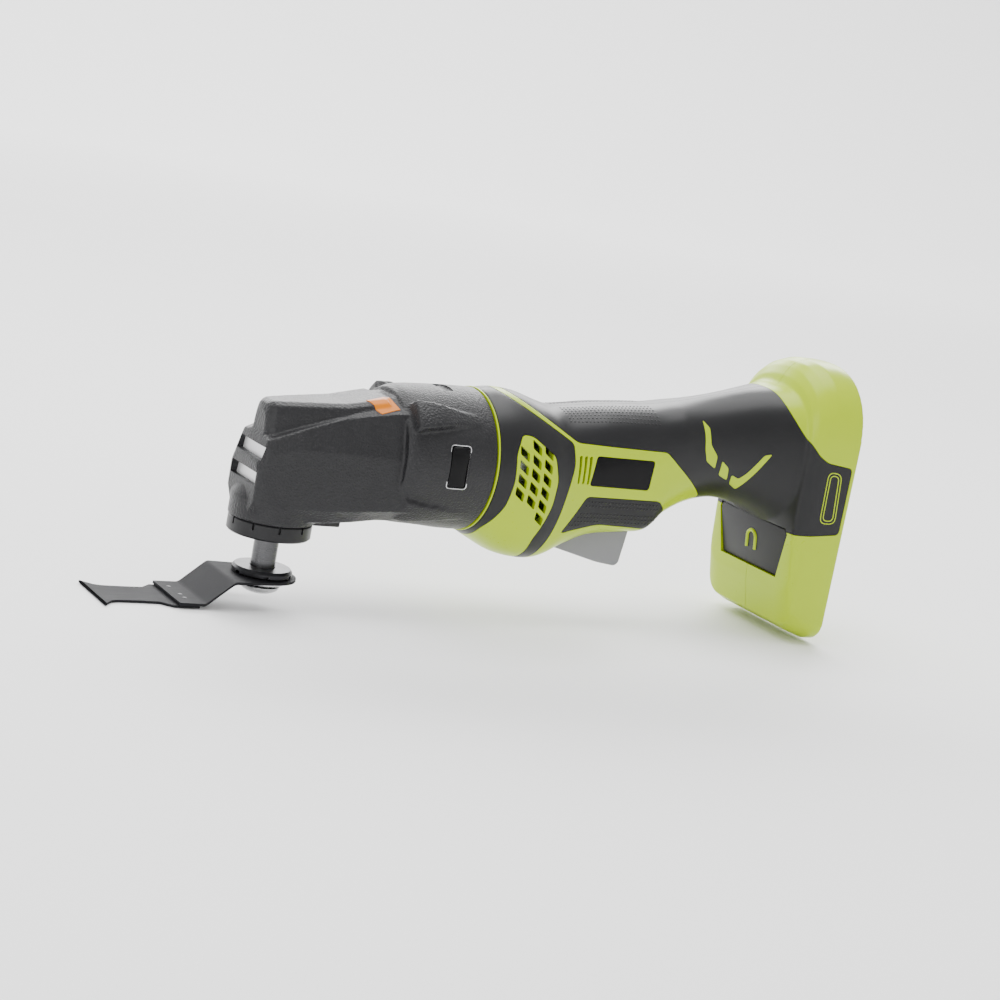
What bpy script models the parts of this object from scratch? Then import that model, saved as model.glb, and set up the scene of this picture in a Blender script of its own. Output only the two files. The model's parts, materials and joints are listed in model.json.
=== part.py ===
"""Cordless oscillating multi tool without its battery pack, as an assembly of separate pieces.

The tool lies along X with its head at -X and its battery foot at +X, and its two sides match across
Y = 0. Shapes are worked out in millimetres about the spindle axis, with Z = 0 on the flange's top face.
The last function turns them into metres and moves the origin to the middle of the tool's lowest level.
"""

import math

import bmesh
import bpy
from mathutils import Matrix, Vector

MM = 0.001
GAP = 0.3
WELD = 0.0005

# Driving sizes, in millimetres.
TIP_X = -82.0
REAR_X = 306.0
FOOT_LOW = -16.0
BLADE_DROP = 11.0
BLADE_THICKNESS = 1.3
JOINT_X = 96.6
AXIS_Z = 59.4
NECK_RADIUS = 34.9
SKIN = 2.2
WALL = 4.4
BARREL_WALL = 2.4
FLANGE_RADIUS = 14.4
SHAFT_RADIUS = 5.9
COLLAR_RADIUS = 20.0
MOTOR_RADIUS = 17.9
ECCENTRICITY = 0.8
VENT_PITCH = 6.5

BLADE_TOP = -3.5 - GAP
TIP_THICKNESS = 1.0
BLADE_LOW = BLADE_TOP - BLADE_DROP - BLADE_THICKNESS - GAP - TIP_THICKNESS
ORIGIN = Vector(((TIP_X + REAR_X) / 2, 0.0, min(FOOT_LOW, BLADE_LOW)))

# Stations of the body along X: x, low, high, half width, squareness of the section.
BODY_STATIONS = (
    (97.0, 24.5, 94.3, 34.9, 2.0),
    (107.0, 19.5, 95.6, 35.4, 2.05),
    (118.0, 14.6, 94.8, 35.2, 2.15),
    (130.0, 12.6, 91.6, 33.6, 2.3),
    (140.0, 13.6, 89.6, 31.0, 2.4),
    (152.0, 20.5, 90.6, 28.8, 2.6),
    (166.0, 27.0, 92.4, 27.8, 2.9),
    (186.0, 30.2, 94.2, 26.7, 3.6),
    (197.0, 31.8, 95.0, 26.0, 3.8),
    (206.0, 39.0, 96.4, 25.0, 3.0),
    (222.0, 46.2, 99.6, 23.8, 2.4),
    (240.0, 50.0, 104.0, 23.8, 2.2),
    (256.0, 48.6, 108.2, 26.5, 2.3),
    (270.0, 44.0, 111.2, 31.2, 2.6),
    (282.0, 36.0, 114.0, 34.4, 2.8),
)
# Stations of the battery foot along X: x, half width, low, high.
TOP_POWER = 2.8
FOOT_STATIONS = (
    (274.5, 27.0, 46.0, 110.0),
    (277.2, 35.2, 38.0, 117.5),
    (280.3, 37.0, 8.0, 122.0),
    (284.3, 38.0, -9.5, 125.0),
    (291.0, 38.8, -13.0, 127.0),
    (300.0, 39.8, -16.0, 127.0),
    (306.0, 40.0, -16.0, 126.6),
)

# Columns of air slots: x, height of the top slot, count.
VENT_COLUMNS = ((111.0, 70.5, 4), (118.2, 73.5, 5), (125.4, 71.5, 6))

# Outlines seen from the side, in X and Z.
FRONT_GRIP = ((90, 5), (90, 103.3), (141.6, 76.1), (142.5, 66), (134.5, 22), (133, 5))
VENT_PANEL = ((110, 79), (106.5, 70), (107, 57), (105.5, 44), (100.5, 30), (104, 5), (129, 5),
              (126.5, 28), (131.5, 46), (132.5, 58), (129.5, 70), (116, 78.5))
HANDLE_GRIP = ((96.0, 104), (144.6, 76.8), (197.6, 75.8), (228.0, 53.0), (228, 38), (272, 40),
               (288, 41), (303, 43), (303, 78), (288, 79.6), (282.5, 82.7), (277, 88.9), (272, 95),
               (268.4, 100.9), (266.4, 105.8), (265.6, 112), (262, 126), (96.0, 126))
SIDE_PAD = ((153.4, 50.6), (198, 50.2), (205, 44.2), (198, 34.6), (184, 35.5), (166, 36.2), (142.7, 31.3))
NAME_PLATE = ((155.8, 71), (190.4, 70.6), (189.4, 56), (153.6, 56.6))


# ---------------------------------------------------------------- helpers

def clear_scene():
    for item in list(bpy.data.objects):
        bpy.data.objects.remove(item, do_unlink=True)


def finish_named(name, colour, roughness, metallic=0.0):
    """A plain Principled material, made once for each finish."""
    material = bpy.data.materials.get(name)
    if material is None:
        material = bpy.data.materials.new(name)
        material.use_nodes = True
        shader = material.node_tree.nodes["Principled BSDF"]
        shader.inputs["Base Color"].default_value = (*colour, 1.0)
        shader.inputs["Roughness"].default_value = roughness
        shader.inputs["Metallic"].default_value = metallic
    return material


def lime():
    return finish_named("lime_plastic", (0.52, 0.66, 0.02), 0.35)


def soft_black():
    return finish_named("soft_black", (0.03, 0.03, 0.032), 0.6)


def hard_black():
    return finish_named("hard_black", (0.025, 0.025, 0.027), 0.45)


def grey_plastic():
    return finish_named("grey_plastic", (0.3, 0.3, 0.31), 0.4)


def steel():
    return finish_named("steel", (0.5, 0.5, 0.5), 0.3, 1.0)


def dark_steel():
    return finish_named("dark_steel", (0.09, 0.09, 0.095), 0.45, 1.0)


def copper():
    return finish_named("copper", (0.8, 0.4, 0.2), 0.35, 1.0)


def board_green():
    return finish_named("board_green", (0.02, 0.15, 0.06), 0.5)


def orange():
    return finish_named("orange_film", (0.9, 0.28, 0.02), 0.4)


def clear_lens():
    return finish_named("clear_lens", (0.8, 0.85, 0.9), 0.1)


def add_object(name, mesh_builder, material=None):
    """Turns a bmesh into a named object with its faces pointing out."""
    bmesh.ops.recalc_face_normals(mesh_builder, faces=mesh_builder.faces)
    mesh = bpy.data.meshes.new(name)
    mesh_builder.to_mesh(mesh)
    mesh_builder.free()
    item = bpy.data.objects.new(name, mesh)
    bpy.context.scene.collection.objects.link(item)
    if material is not None:
        mesh.materials.append(material)
    return item


def loft(name, rings, material=None):
    """A closed skin over rings of points that all have the same count."""
    builder = bmesh.new()
    rows = [[builder.verts.new(point) for point in ring] for ring in rings]
    for near, far in zip(rows, rows[1:]):
        for index in range(len(near)):
            after = (index + 1) % len(near)
            builder.faces.new((near[index], near[after], far[after], far[index]))
    builder.faces.new(rows[0])
    builder.faces.new(rows[-1])
    return add_object(name, builder, material)


def prism(name, outline, material=None, low=-60.0, high=60.0):
    """A side outline in X and Z carried through from Y = low to Y = high."""
    rings = [[(x, y, z) for x, z in outline] for y in (low, high)]
    return loft(name, rings, material)


def box(name, low, high, material=None):
    x0, y0, z0 = low
    x1, y1, z1 = high
    return prism(name, ((x0, z0), (x1, z0), (x1, z1), (x0, z1)), material, y0, y1)


def turned(name, profile, centre, direction, material=None, sides=28):
    """A round solid: profile holds (distance along direction, radius) and closes on itself."""
    builder = bmesh.new()
    turn = Vector((0, 0, 1)).rotation_difference(Vector(direction)).to_matrix()
    rings = []
    for step in range(sides):
        angle = 2 * math.pi * step / sides
        spoke = Vector((math.cos(angle), math.sin(angle), 0.0))
        ring = []
        for along, radius in profile:
            local = spoke * radius + Vector((0, 0, along))
            ring.append(builder.verts.new(Vector(centre) + turn @ local))
        rings.append(ring)
    count = len(profile)
    for step in range(sides):
        near, far = rings[step], rings[(step + 1) % sides]
        for index in range(count):
            after = (index + 1) % count
            if profile[index][1] > 0 or profile[after][1] > 0:
                builder.faces.new((near[index], near[after], far[after], far[index]))
    bmesh.ops.remove_doubles(builder, verts=builder.verts, dist=WELD)
    return add_object(name, builder, material)


def rod(name, centre, direction, length, radius, material=None, sides=24):
    return turned(name, ((0, 0), (0, radius), (length, radius), (length, 0)), centre, direction,
                  material, sides)


def ring(name, centre, direction, length, outer, inner, material=None, sides=28):
    return turned(name, ((0, inner), (0, outer), (length, outer), (length, inner)), centre, direction,
                  material, sides)


def combine(target, other, operation, keep_other=False):
    """Applies a Boolean at once, so that later steps work on the result.

    The skins cross at shallow angles, where the exact solver loses faces, so the manifold one is used.
    """
    modifier = target.modifiers.new("combine", "BOOLEAN")
    modifier.solver = "MANIFOLD"
    modifier.operation = operation
    modifier.object = other
    bpy.context.view_layer.update()
    graph = bpy.context.evaluated_depsgraph_get()
    result = bpy.data.meshes.new_from_object(target.evaluated_get(graph))
    target.modifiers.remove(modifier)
    slots = [slot for slot in target.data.materials]
    target.data = result
    target.data.materials.clear()
    for slot in slots:
        target.data.materials.append(slot)
    if not keep_other:
        bpy.data.objects.remove(other, do_unlink=True)
    return target


def copy_of(item, name, material=None):
    twin = item.copy()
    twin.data = item.data.copy()
    twin.name = name
    bpy.context.scene.collection.objects.link(twin)
    if material is not None:
        twin.data.materials.clear()
        twin.data.materials.append(material)
    return twin


def grown(outline, by):
    """The side outline moved outwards by the same distance all round."""
    area = sum(a[0] * b[1] - b[0] * a[1] for a, b in zip(outline, outline[1:] + outline[:1]))
    side = 1.0 if area > 0 else -1.0
    points = []
    for index, here in enumerate(outline):
        before = Vector(here) - Vector(outline[index - 1])
        after = Vector(outline[(index + 1) % len(outline)]) - Vector(here)
        normal_a = side * Vector((before.y, -before.x)).normalized()
        normal_b = side * Vector((after.y, -after.x)).normalized()
        mitre = (normal_a + normal_b).normalized()
        points.append(tuple(Vector(here) + mitre * (by / max(0.4, mitre.dot(normal_a)))))
    return tuple(points)


def smooth(item, angle=35.0):
    item.data.shade_smooth()
    item.data.set_sharp_from_angle(angle=math.radians(angle))


# ---------------------------------------------------------------- sections

def rounded_section(x, low, high, half_width, power, count=28):
    """A rounded section across the tool, from an ellipse at power 2 to a soft box above it."""
    points = []
    for step in range(count):
        angle = 2 * math.pi * (step + 0.5) / count
        square = power if math.sin(angle) < 0 else min(power, TOP_POWER)
        across = math.copysign(abs(math.cos(angle)) ** (2 / square), math.cos(angle))
        up = math.copysign(abs(math.sin(angle)) ** (2 / square), math.sin(angle))
        points.append((x, half_width * across, (low + high) / 2 + (high - low) / 2 * up))
    return points


def arched_section(x, half_width, low, high, corner=11.0, arch_steps=16, corner_steps=3):
    """A foot section: an arch over straight sides, with rounded lower corners."""
    rise = min(half_width * 1.05, high - low - corner - 1)
    points = []
    for step in range(arch_steps + 1):
        angle = math.pi * step / arch_steps
        across = math.copysign(abs(math.cos(angle)) ** 0.84, math.cos(angle))
        points.append((x, half_width * across, high - rise + rise * math.sin(angle) ** 0.84))
    for side in (-1, 1):
        for step in range(corner_steps + 1):
            angle = math.pi / 2 * (step if side < 0 else corner_steps - step) / corner_steps
            reach = half_width - corner + corner * math.cos(angle)
            points.append((x, side * reach, low + corner - corner * math.sin(angle)))
    return points


def between(stations, x):
    """The station values at x, on a smooth curve through the stations."""
    last = len(stations) - 2
    index = min(last, max(0, sum(1 for row in stations if row[0] <= x) - 1))
    rows = [stations[min(last + 1, max(0, index + shift))] for shift in (-1, 0, 1, 2)]
    start, end = rows[1], rows[2]
    span = end[0] - start[0]
    t = (x - start[0]) / span
    values = []
    for column in range(1, len(start)):
        slope_in = (end[column] - rows[0][column]) / max(1e-6, end[0] - rows[0][0]) * span
        slope_out = (rows[3][column] - start[column]) / max(1e-6, rows[3][0] - start[0]) * span
        h = (2 * t ** 3 - 3 * t ** 2 + 1, t ** 3 - 2 * t ** 2 + t, 3 * t ** 2 - 2 * t ** 3, t ** 3 - t ** 2)
        values.append(h[0] * start[column] + h[1] * slope_in + h[2] * end[column] + h[3] * slope_out)
    return values


def body_solid(name, inset, start, end, count):
    rings = []
    for step in range(count + 1):
        x = start + (end - start) * step / count
        low, high, half_width, power = between(BODY_STATIONS, x)
        rings.append(rounded_section(x, low + inset, high - inset, half_width - inset, power))
    return loft(name, rings)


def foot_solid(name, inset):
    rings = []
    for x, half_width, low, high in FOOT_STATIONS:
        shift = inset if x < 290 else 0.0
        rings.append(arched_section(x + shift, half_width - inset, low + inset, high - inset))
    return loft(name, rings)


def outer_form(name, inset, start=97.5):
    """The whole base as one solid, sunk by inset below its surface."""
    whole = body_solid(name, inset, start, 281.0, 16)
    return combine(whole, foot_solid("foot_form", inset), "UNION")


# ---------------------------------------------------------------- base

def skin_piece(name, outline, outer, core, material):
    """The part of the outer 2 mm of the base that lies inside a side outline."""
    piece = prism(name, outline, material)
    combine(piece, outer, "INTERSECT", keep_other=True)
    return combine(piece, core, "DIFFERENCE", keep_other=True)


def keep_side(item, name, side):
    """One half of a piece that spans both sides, cut clear of the seam."""
    half = copy_of(item, name)
    low, high = (-GAP / 2, 70.0) if side < 0 else (-70.0, GAP / 2)
    return combine(half, box("half_space", (60, low, -40), (330, high, 150)), "DIFFERENCE")


def hollow_cutter():
    """The room inside the base: motor and handle space, battery stem socket and seat recess."""
    room = body_solid("room", WALL, 99.3, 254.0, 10)
    mouth = rod("mouth", (90, 0, AXIS_Z), (1, 0, 0), 16, NECK_RADIUS - WALL - 0.7, sides=30)
    combine(room, mouth, "UNION")
    socket_rings = [rounded_section(x, low, high, width, 3.0, 24)
                    for x, low, high, width in ((250, 60, 97, 18.0), (280, 55, 99, 20.5), (310, 52, 101, 22.5))]
    combine(room, loft("socket", socket_rings), "UNION")
    seat = [arched_section(x, 34.5, -10.5, 121, 8.0) for x in (300.5, 310.0)]
    combine(room, loft("seat", seat), "UNION")
    return room


def screw_places():
    """Case screws across the seam, in X and Z: below the motor, along the handle and in the foot."""
    return ((150.0, 82.6), (206.0, 55.0), (231.0, 88.0), (295.0, 26.0))


def vent_slots():
    """Three columns of air slots in each side, as one cutter. The bars between them fall to the rear."""
    cutter = None
    for x, top, count in VENT_COLUMNS:
        for row in range(count):
            z = top - VENT_PITCH * row
            outline = ((x - 2.6, z + 3.9), (x + 2.6, z + 0.2), (x + 2.6, z - 3.9), (x - 2.6, z - 0.2))
            slot = prism("slot", outline)
            cutter = slot if cutter is None else combine(cutter, slot, "UNION")
    return cutter


def make_base():
    outer = outer_form("outer", 0.0)
    core = outer_form("core", SKIN, 90.0)
    inner_core = outer_form("inner_core", SKIN - GAP, 90.0)
    shell = copy_of(outer, "shell", lime())
    cut_skin(shell, core, FRONT_GRIP, minus=VENT_PANEL)
    for outline in (HANDLE_GRIP, SIDE_PAD, NAME_PLATE):
        cut_skin(shell, core, outline)
    combine(shell, hollow_cutter(), "DIFFERENCE")
    add_bosses(shell)
    combine(shell, vent_slots(), "DIFFERENCE")
    trigger_way = box("trigger_way", (149.5, -8.9, 0), (197.5, 8.9, 52))
    combine(shell, trigger_way, "DIFFERENCE", keep_other=True)
    tray_way = loft("tray_way", tray_rings(GAP))
    combine(shell, tray_way, "DIFFERENCE")

    front = skin_piece("front", FRONT_GRIP, outer, inner_core, soft_black())
    combine(front, prism("vent_gap", grown(VENT_PANEL, GAP)), "DIFFERENCE")
    combine(front, copy_of(trigger_way, "trigger_way_2"), "DIFFERENCE")
    handle = skin_piece("handle", HANDLE_GRIP, outer, inner_core, soft_black())
    combine(handle, loft("tray_way_2", tray_rings(GAP)), "DIFFERENCE")
    pads = skin_piece("pads", SIDE_PAD, outer, inner_core, soft_black())
    combine(pads, trigger_way, "DIFFERENCE")
    plates = skin_piece("plates", NAME_PLATE, outer, inner_core, hard_black())
    for side, label in ((-1, "right"), (1, "left")):
        for source, name in ((shell, "base_shell"), (front, "front_grip"), (handle, "handle_grip"),
                             (pads, "side_pad"), (plates, "name_plate")):
            smooth(keep_side(source, f"{name}_{label}", side))
    for item in (outer, core, inner_core, shell, front, handle, pads, plates):
        bpy.data.objects.remove(item, do_unlink=True)
    drill_screws()


def cut_skin(shell, core, outline, minus=None):
    """Sinks the shell where another piece covers it."""
    cutter = prism("skin_cutter", grown(outline, GAP))
    if minus is not None:
        combine(cutter, prism("left_standing", minus), "DIFFERENCE")
    combine(cutter, core, "DIFFERENCE", keep_other=True)
    combine(shell, cutter, "DIFFERENCE")


def add_bosses(shell):
    """A solid post round each screw, ending inside the shell's wall."""
    inside = outer_form("inside", (SKIN + WALL) / 2)
    for x, z in screw_places():
        boss = rod("boss", (x, -45, z), (0, 1, 0), 90, 4.4, sides=14)
        combine(boss, inside, "INTERSECT", keep_other=True)
        combine(shell, boss, "UNION")
    bpy.data.objects.remove(inside, do_unlink=True)


def drill_screws():
    """Each screw enters from the left side, and its thread ends in the right shell's boss."""
    for number, (x, z) in enumerate(screw_places(), start=1):
        head_y = 12.0
        hole = turned("hole", ((-14.5, 0), (-14.5, 1.8), (head_y, 1.8), (head_y, 3.6), (60, 3.6), (60, 0)),
                      (x, 0, z), (0, 1, 0), sides=12)
        for name in ("base_shell_left", "base_shell_right", "handle_grip_left", "name_plate_left",
                     "front_grip_left"):
            combine(bpy.data.objects[name], hole, "DIFFERENCE", keep_other=True)
        bpy.data.objects.remove(hole, do_unlink=True)
        profile = ((-13.5, 0), (-13.5, 1.4), (head_y + GAP, 1.4), (head_y + GAP, 3.1), (head_y + 2.6, 3.1),
                   (head_y + 2.6, 1.6), (head_y + 1.2, 1.0), (head_y + 1.2, 0))
        smooth(turned(f"case_screw_{number}", profile, (x, 0, z), (0, 1, 0), dark_steel(), 12))


def tray_rings(by):
    """The black tray set into the front of the foot, leaning with the foot's front face."""
    rings = []
    for depth in (-8.0 if by else 0.5, 7.2 + by):
        ring_points = []
        for half_width, z in ((25.0, 15.0), (30.5, 38.5), (29.0, 41.6), (-29.0, 41.6), (-30.5, 38.5),
                              (-25.0, 15.0)):
            lean = 276.2 + (38.0 - z) * 0.135
            reach = half_width + math.copysign(by, half_width)
            up = z + (by if z > 30 else -by)
            ring_points.append((lean + depth, reach, up))
        rings.append(ring_points)
    return rings


def make_trim():
    smooth(ring("trim_ring", (JOINT_X - 0.2, 0, AXIS_Z), (1, 0, 0), 0.8, NECK_RADIUS + 0.3, 31.5, lime(), 40))
    tray = loft("magnet_tray", tray_rings(0.0), soft_black())
    pocket = box("magnet_pocket", (280.7, -9.3, 19), (292, 9.3, 37))
    combine(tray, pocket, "DIFFERENCE")
    box("tray_magnet", (281.0, -9, 19.3), (283.0, 9, 36.7), dark_steel())


# ---------------------------------------------------------------- trigger and switch

TRIGGER_PIVOT = (153.5, 0.0, 31.0)


def make_trigger():
    outline = ((150.0, 27.5), (151.0, 19.6), (165, 16.2), (180, 12.6), (190.8, 11.2), (193.0, 13.0),
               (195.5, 32.0), (191.5, 43.0), (160.0, 38.5), (152.0, 35.0))
    trigger = prism("trigger", outline, grey_plastic(), -8.4, 8.4)
    pivot_hole = rod("pivot_hole", (153.5, -20, 31), (0, 1, 0), 40, 1.9, sides=16)
    combine(trigger, pivot_hole, "DIFFERENCE")
    smooth(trigger, 25)
    set_origin(trigger, TRIGGER_PIVOT)
    smooth(rod("trigger_pin", (153.5, -13.5, 31), (0, 1, 0), 27, 1.6, steel(), 16))
    switch = box("switch_body", (173.5, -10, 50), (197, 10, 62), hard_black())
    combine(switch, rod("plunger_way", (187, 0, 45), (0, 0, 1), 13.5, 2.8, sides=16), "DIFFERENCE")
    smooth(rod("switch_plunger", (187, 0, 43.8), (0, 0, 1), 9.2, 2.4, grey_plastic(), 16))
    spring = coil("trigger_spring", (177, 0, 41.9), (0, 0, 1), 7.8, 2.6, 0.4, 4.0, steel())
    smooth(spring, 60)


def coil(name, start, direction, length, radius, wire, turns, material, steps=9, sides=5):
    """A coil spring: wire rings along a helix, closed at both ends."""
    turn = Vector((0, 0, 1)).rotation_difference(Vector(direction)).to_matrix()
    total = int(steps * turns)
    rings = []
    for step in range(total + 1):
        angle = 2 * math.pi * step / steps
        spoke = Vector((math.cos(angle), math.sin(angle), 0))
        height = wire + (length - 2 * wire) * step / total
        centre = spoke * radius + Vector((0, 0, height))
        wire_ring = []
        for corner in range(sides):
            around = 2 * math.pi * corner / sides
            local = centre + wire * (math.cos(around) * spoke + math.sin(around) * Vector((0, 0, 1)))
            wire_ring.append(Vector(start) + turn @ local)
        rings.append(wire_ring)
    return loft(name, rings, material)


# ---------------------------------------------------------------- motor and battery end

def make_motor():
    can = turned("motor_can", ((0, 4.5), (0, MOTOR_RADIUS), (50, MOTOR_RADIUS), (50, 16.6), (1.4, 16.6), (1.4, 4.5)),
                 (114.5, 0, AXIS_Z), (1, 0, 0), steel(), 32)
    smooth(can)
    smooth(turned("motor_end_cap", ((0, 3.6), (0, 16.2), (4.5, 16.2), (4.5, 3.6)), (164.8, 0, AXIS_Z), (1, 0, 0),
                  hard_black(), 28))
    core = rod("rotor_core", (122, 0, AXIS_Z), (1, 0, 0), 30, 14.6, dark_steel(), 30)
    combine(core, rod("core_hole", (100, 0, AXIS_Z), (1, 0, 0), 80, 1.9, sides=12), "DIFFERENCE")
    smooth(core)
    smooth(rod("rotor_shaft", (99.5, 0, AXIS_Z), (1, 0, 0), 72, 1.58, steel(), 12))
    smooth(ring("commutator", (153.5, 0, AXIS_Z), (1, 0, 0), 8, 5.5, 1.9, copper(), 18))
    smooth(ring("motor_front_bearing", (111.6, 0, AXIS_Z), (1, 0, 0), 4.0, 4.2, 1.9, steel(), 20))
    smooth(ring("motor_rear_bearing", (165.2, 0, AXIS_Z), (1, 0, 0), 3.6, 3.3, 1.9, steel(), 20))
    make_fan()
    plate = ring("motor_plate", (107.6, 0, AXIS_Z), (1, 0, 0), 2.4, 27.5, 5.0, steel(), 32)
    for angle in range(45, 360, 90):
        y = 21.5 * math.cos(math.radians(angle))
        z = AXIS_Z + 21.5 * math.sin(math.radians(angle))
        combine(plate, rod("plate_hole", (100, y, z), (1, 0, 0), 20, 3.4, sides=12), "DIFFERENCE")
    smooth(plate)
    box("control_board", (188, -15, 71.5), (226, 15, 73.1), board_green())


def make_fan():
    fan = ring("motor_fan", (101.0, 0, AXIS_Z), (1, 0, 0), 1.4, 25.5, 1.9, hard_black(), 36)
    for step in range(12):
        blade = box("fan_blade", (102.0, 9.0, AXIS_Z - 0.7), (106.4, 25.0, AXIS_Z + 0.7))
        angle = math.radians(30 * step)
        centre = Matrix.Translation((0, 0, AXIS_Z))
        blade.data.transform(centre @ Matrix.Rotation(angle, 4, "X") @ centre.inverted())
        combine(fan, blade, "UNION")
    hub = ring("fan_hub", (101.0, 0, AXIS_Z), (1, 0, 0), 5.4, 4.0, 1.9, None, 16)
    combine(fan, hub, "UNION")
    smooth(fan)


def make_battery_end():
    block = box("terminal_block", (240.5, -14, 64), (252, 14, 92), hard_black())
    for y in (-8.0, 8.0):
        slot = box("terminal_slot", (230, y - 0.75, 69.7), (260, y + 0.75, 86.3))
        combine(block, slot, "DIFFERENCE")
    for y, label in ((-8.0, "positive"), (8.0, "negative")):
        box(f"terminal_{label}", (236, y - 0.45, 70), (272, y + 0.45, 86), copper())


# ---------------------------------------------------------------- head

# Stations of the head block: x, low, low half width, side foot, side half width, crease, ridge half width, ridge.
HEAD_STATIONS = (
    (-17.6, 27.0, 11.0, 35.0, 15.8, 46.0, 13.0, 51.0),
    (-14.0, 25.0, 15.0, 33.5, 17.4, 57.5, 14.6, 63.0),
    (0.0, 24.2, 18.5, 33.0, 20.6, 61.5, 16.4, 69.0),
    (20.0, 24.6, 18.5, 34.0, 23.8, 61.8, 17.4, 76.4),
    (33.0, 25.8, 18.3, 35.2, 25.9, 61.6, 19.4, 82.0),
    (46.0, 27.6, 18.0, 36.5, 27.6, 61.0, 20.5, 84.0),
    (58.0, 28.0, 18.0, 37.0, 28.6, 61.0, 21.5, 85.5),
)


def head_ring(x, low, low_width, foot, width, crease, ridge_width, ridge, inset=0.0):
    half = ((low_width * 0.55, low), (low_width, low + 2.2), (width, foot), (width, crease), (ridge_width, ridge),
            (ridge_width * 0.5, ridge + 1.4))
    middle = (low + ridge) / 2
    points = []
    for y, z in half:
        scale_z = 1.0 - 2.0 * inset / (ridge - low)
        points.append((x, y - inset, middle + (z - middle) * scale_z))
    return points + [(px, -py, pz) for px, py, pz in reversed(points)]


def head_block(name, inset):
    rings = []
    for station in HEAD_STATIONS:
        x = station[0] + (inset if station[0] < -10 else 0)
        rings.append(head_ring(x, *station[1:], inset=inset))
    return loft(name, rings)


def head_barrel(name, inset, start, end):
    rings = []
    for x, radius, low in ((start, 31.0, 28.0), (start + 5, 33.0, 27.6), (70, 34.2, 27.4), (84, 34.7, 25.6),
                           (end, 34.9, 24.5)):
        points = []
        for step in range(36):
            angle = 2 * math.pi * step / 36
            z = AXIS_Z + (radius - inset) * math.sin(angle)
            points.append((x, (radius - inset) * math.cos(angle), max(z, low + inset)))
        rings.append(points)
    return loft(name, rings)


def hump(name, inset):
    rings = []
    for x, width, high in ((-13.5, 6.5, 77.0), (-11.5, 9.0, 80.2), (0.0, 11.5, 80.6), (24.0, 15.0, 82.6), (44.0, 17.0, 87.0)):
        shift = inset if x < -10 else 0.0
        top = high - inset
        w = width - inset
        rings.append([(x + shift, y, z) for y, z in ((-w - 2.5, 56), (w + 2.5, 56), (w, top - 2.0), (w - 2.0, top),
                                                     (2.0 - w, top), (-w, top - 2.0))])
    return loft(name, rings)


def head_form(name, inset):
    form = head_block(name, inset)
    low = 23.8 - 1.2 * inset
    column = turned("column", ((low, 0), (low, 20.4 - inset * 1.05), (38.0, 20.9 - inset), (44.0, 17.0 - inset),
                               (44.0, 0)), (0, 0, 0), (0, 0, 1), sides=32 - 2 * (inset > 0))
    combine(form, column, "UNION")
    combine(form, hump("hump", inset), "UNION")
    barrel = head_barrel("barrel", inset, 50.0, JOINT_X - 0.6) if inset == 0 else \
        head_barrel("barrel", inset, 55.0, JOINT_X + 4)
    return combine(form, barrel, "UNION")


def make_head():
    cover = head_form("head_cover", 0.0)
    cover.data.materials.append(hard_black())
    combine(cover, head_form("head_room", BARREL_WALL), "DIFFERENCE")
    for low, high in ((53.4, 59.6), (41.4, 47.6)):
        window = box("window", (-30, -14.4, low), (-8, 14.4, high))
        combine(cover, window, "DIFFERENCE")
    latch_way = box("latch_way", (71.2, -40, 51.3), (81.2, 40, 71.5))
    combine(cover, latch_way, "DIFFERENCE")
    lamp_way = box("lamp_way", (20.9, -6.4, 20), (30.4, 6.4, 30))
    combine(cover, lamp_way, "DIFFERENCE")
    smooth(cover, 30)
    smooth(ring("nose_collar", (0, 0, 16.0), (0, 0, 1), 7.5, COLLAR_RADIUS, 6.6, hard_black(), 36))
    front_rings = [[(x + shift, y, z) for shift, y in ((0, -10.5), (1.4, -10.5), (1.4, 10.5), (0, 10.5))]
                   for x, z in ((-14.6, 41.0), (-11.0, 59.8))]
    loft("gear_case_front", front_rings, steel())
    lamp = box("head_lamp", (21.2, -6.1, 22.2), (30.1, 6.1, 29.0), clear_lens())
    smooth(lamp)
    label = loft("top_label", label_rings(), orange())
    smooth(label)


def label_rings():
    """A thin blank lozenge laid on the slope in front of the barrel."""
    rings = []
    for lift in (0.9, 1.4):
        rings.append([(x, y, z + lift) for x, y, z in ((35.5, -12.0, 87.3), (46.0, -6.0, 88.6), (49.0, -14.5, 87.0),
                                                       (40.0, -20.0, 82.6))])
    return rings


def make_latches():
    for side, label in ((-1, "right"), (1, "left")):
        low, high = sorted((side * 28.6, side * 34.4))
        button = box(f"latch_button_{label}", (71.6, low, 51.7), (80.8, high, 71.1), hard_black())
        set_origin(button, (76.2, side * 34.4, 61.4))
        spring = coil(f"latch_spring_{label}", (76.2, side * 20.6, 61.4), (0, side, 0), 7.6, 3.2, 0.4, 3.0, steel())
        smooth(spring, 60)


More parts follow.
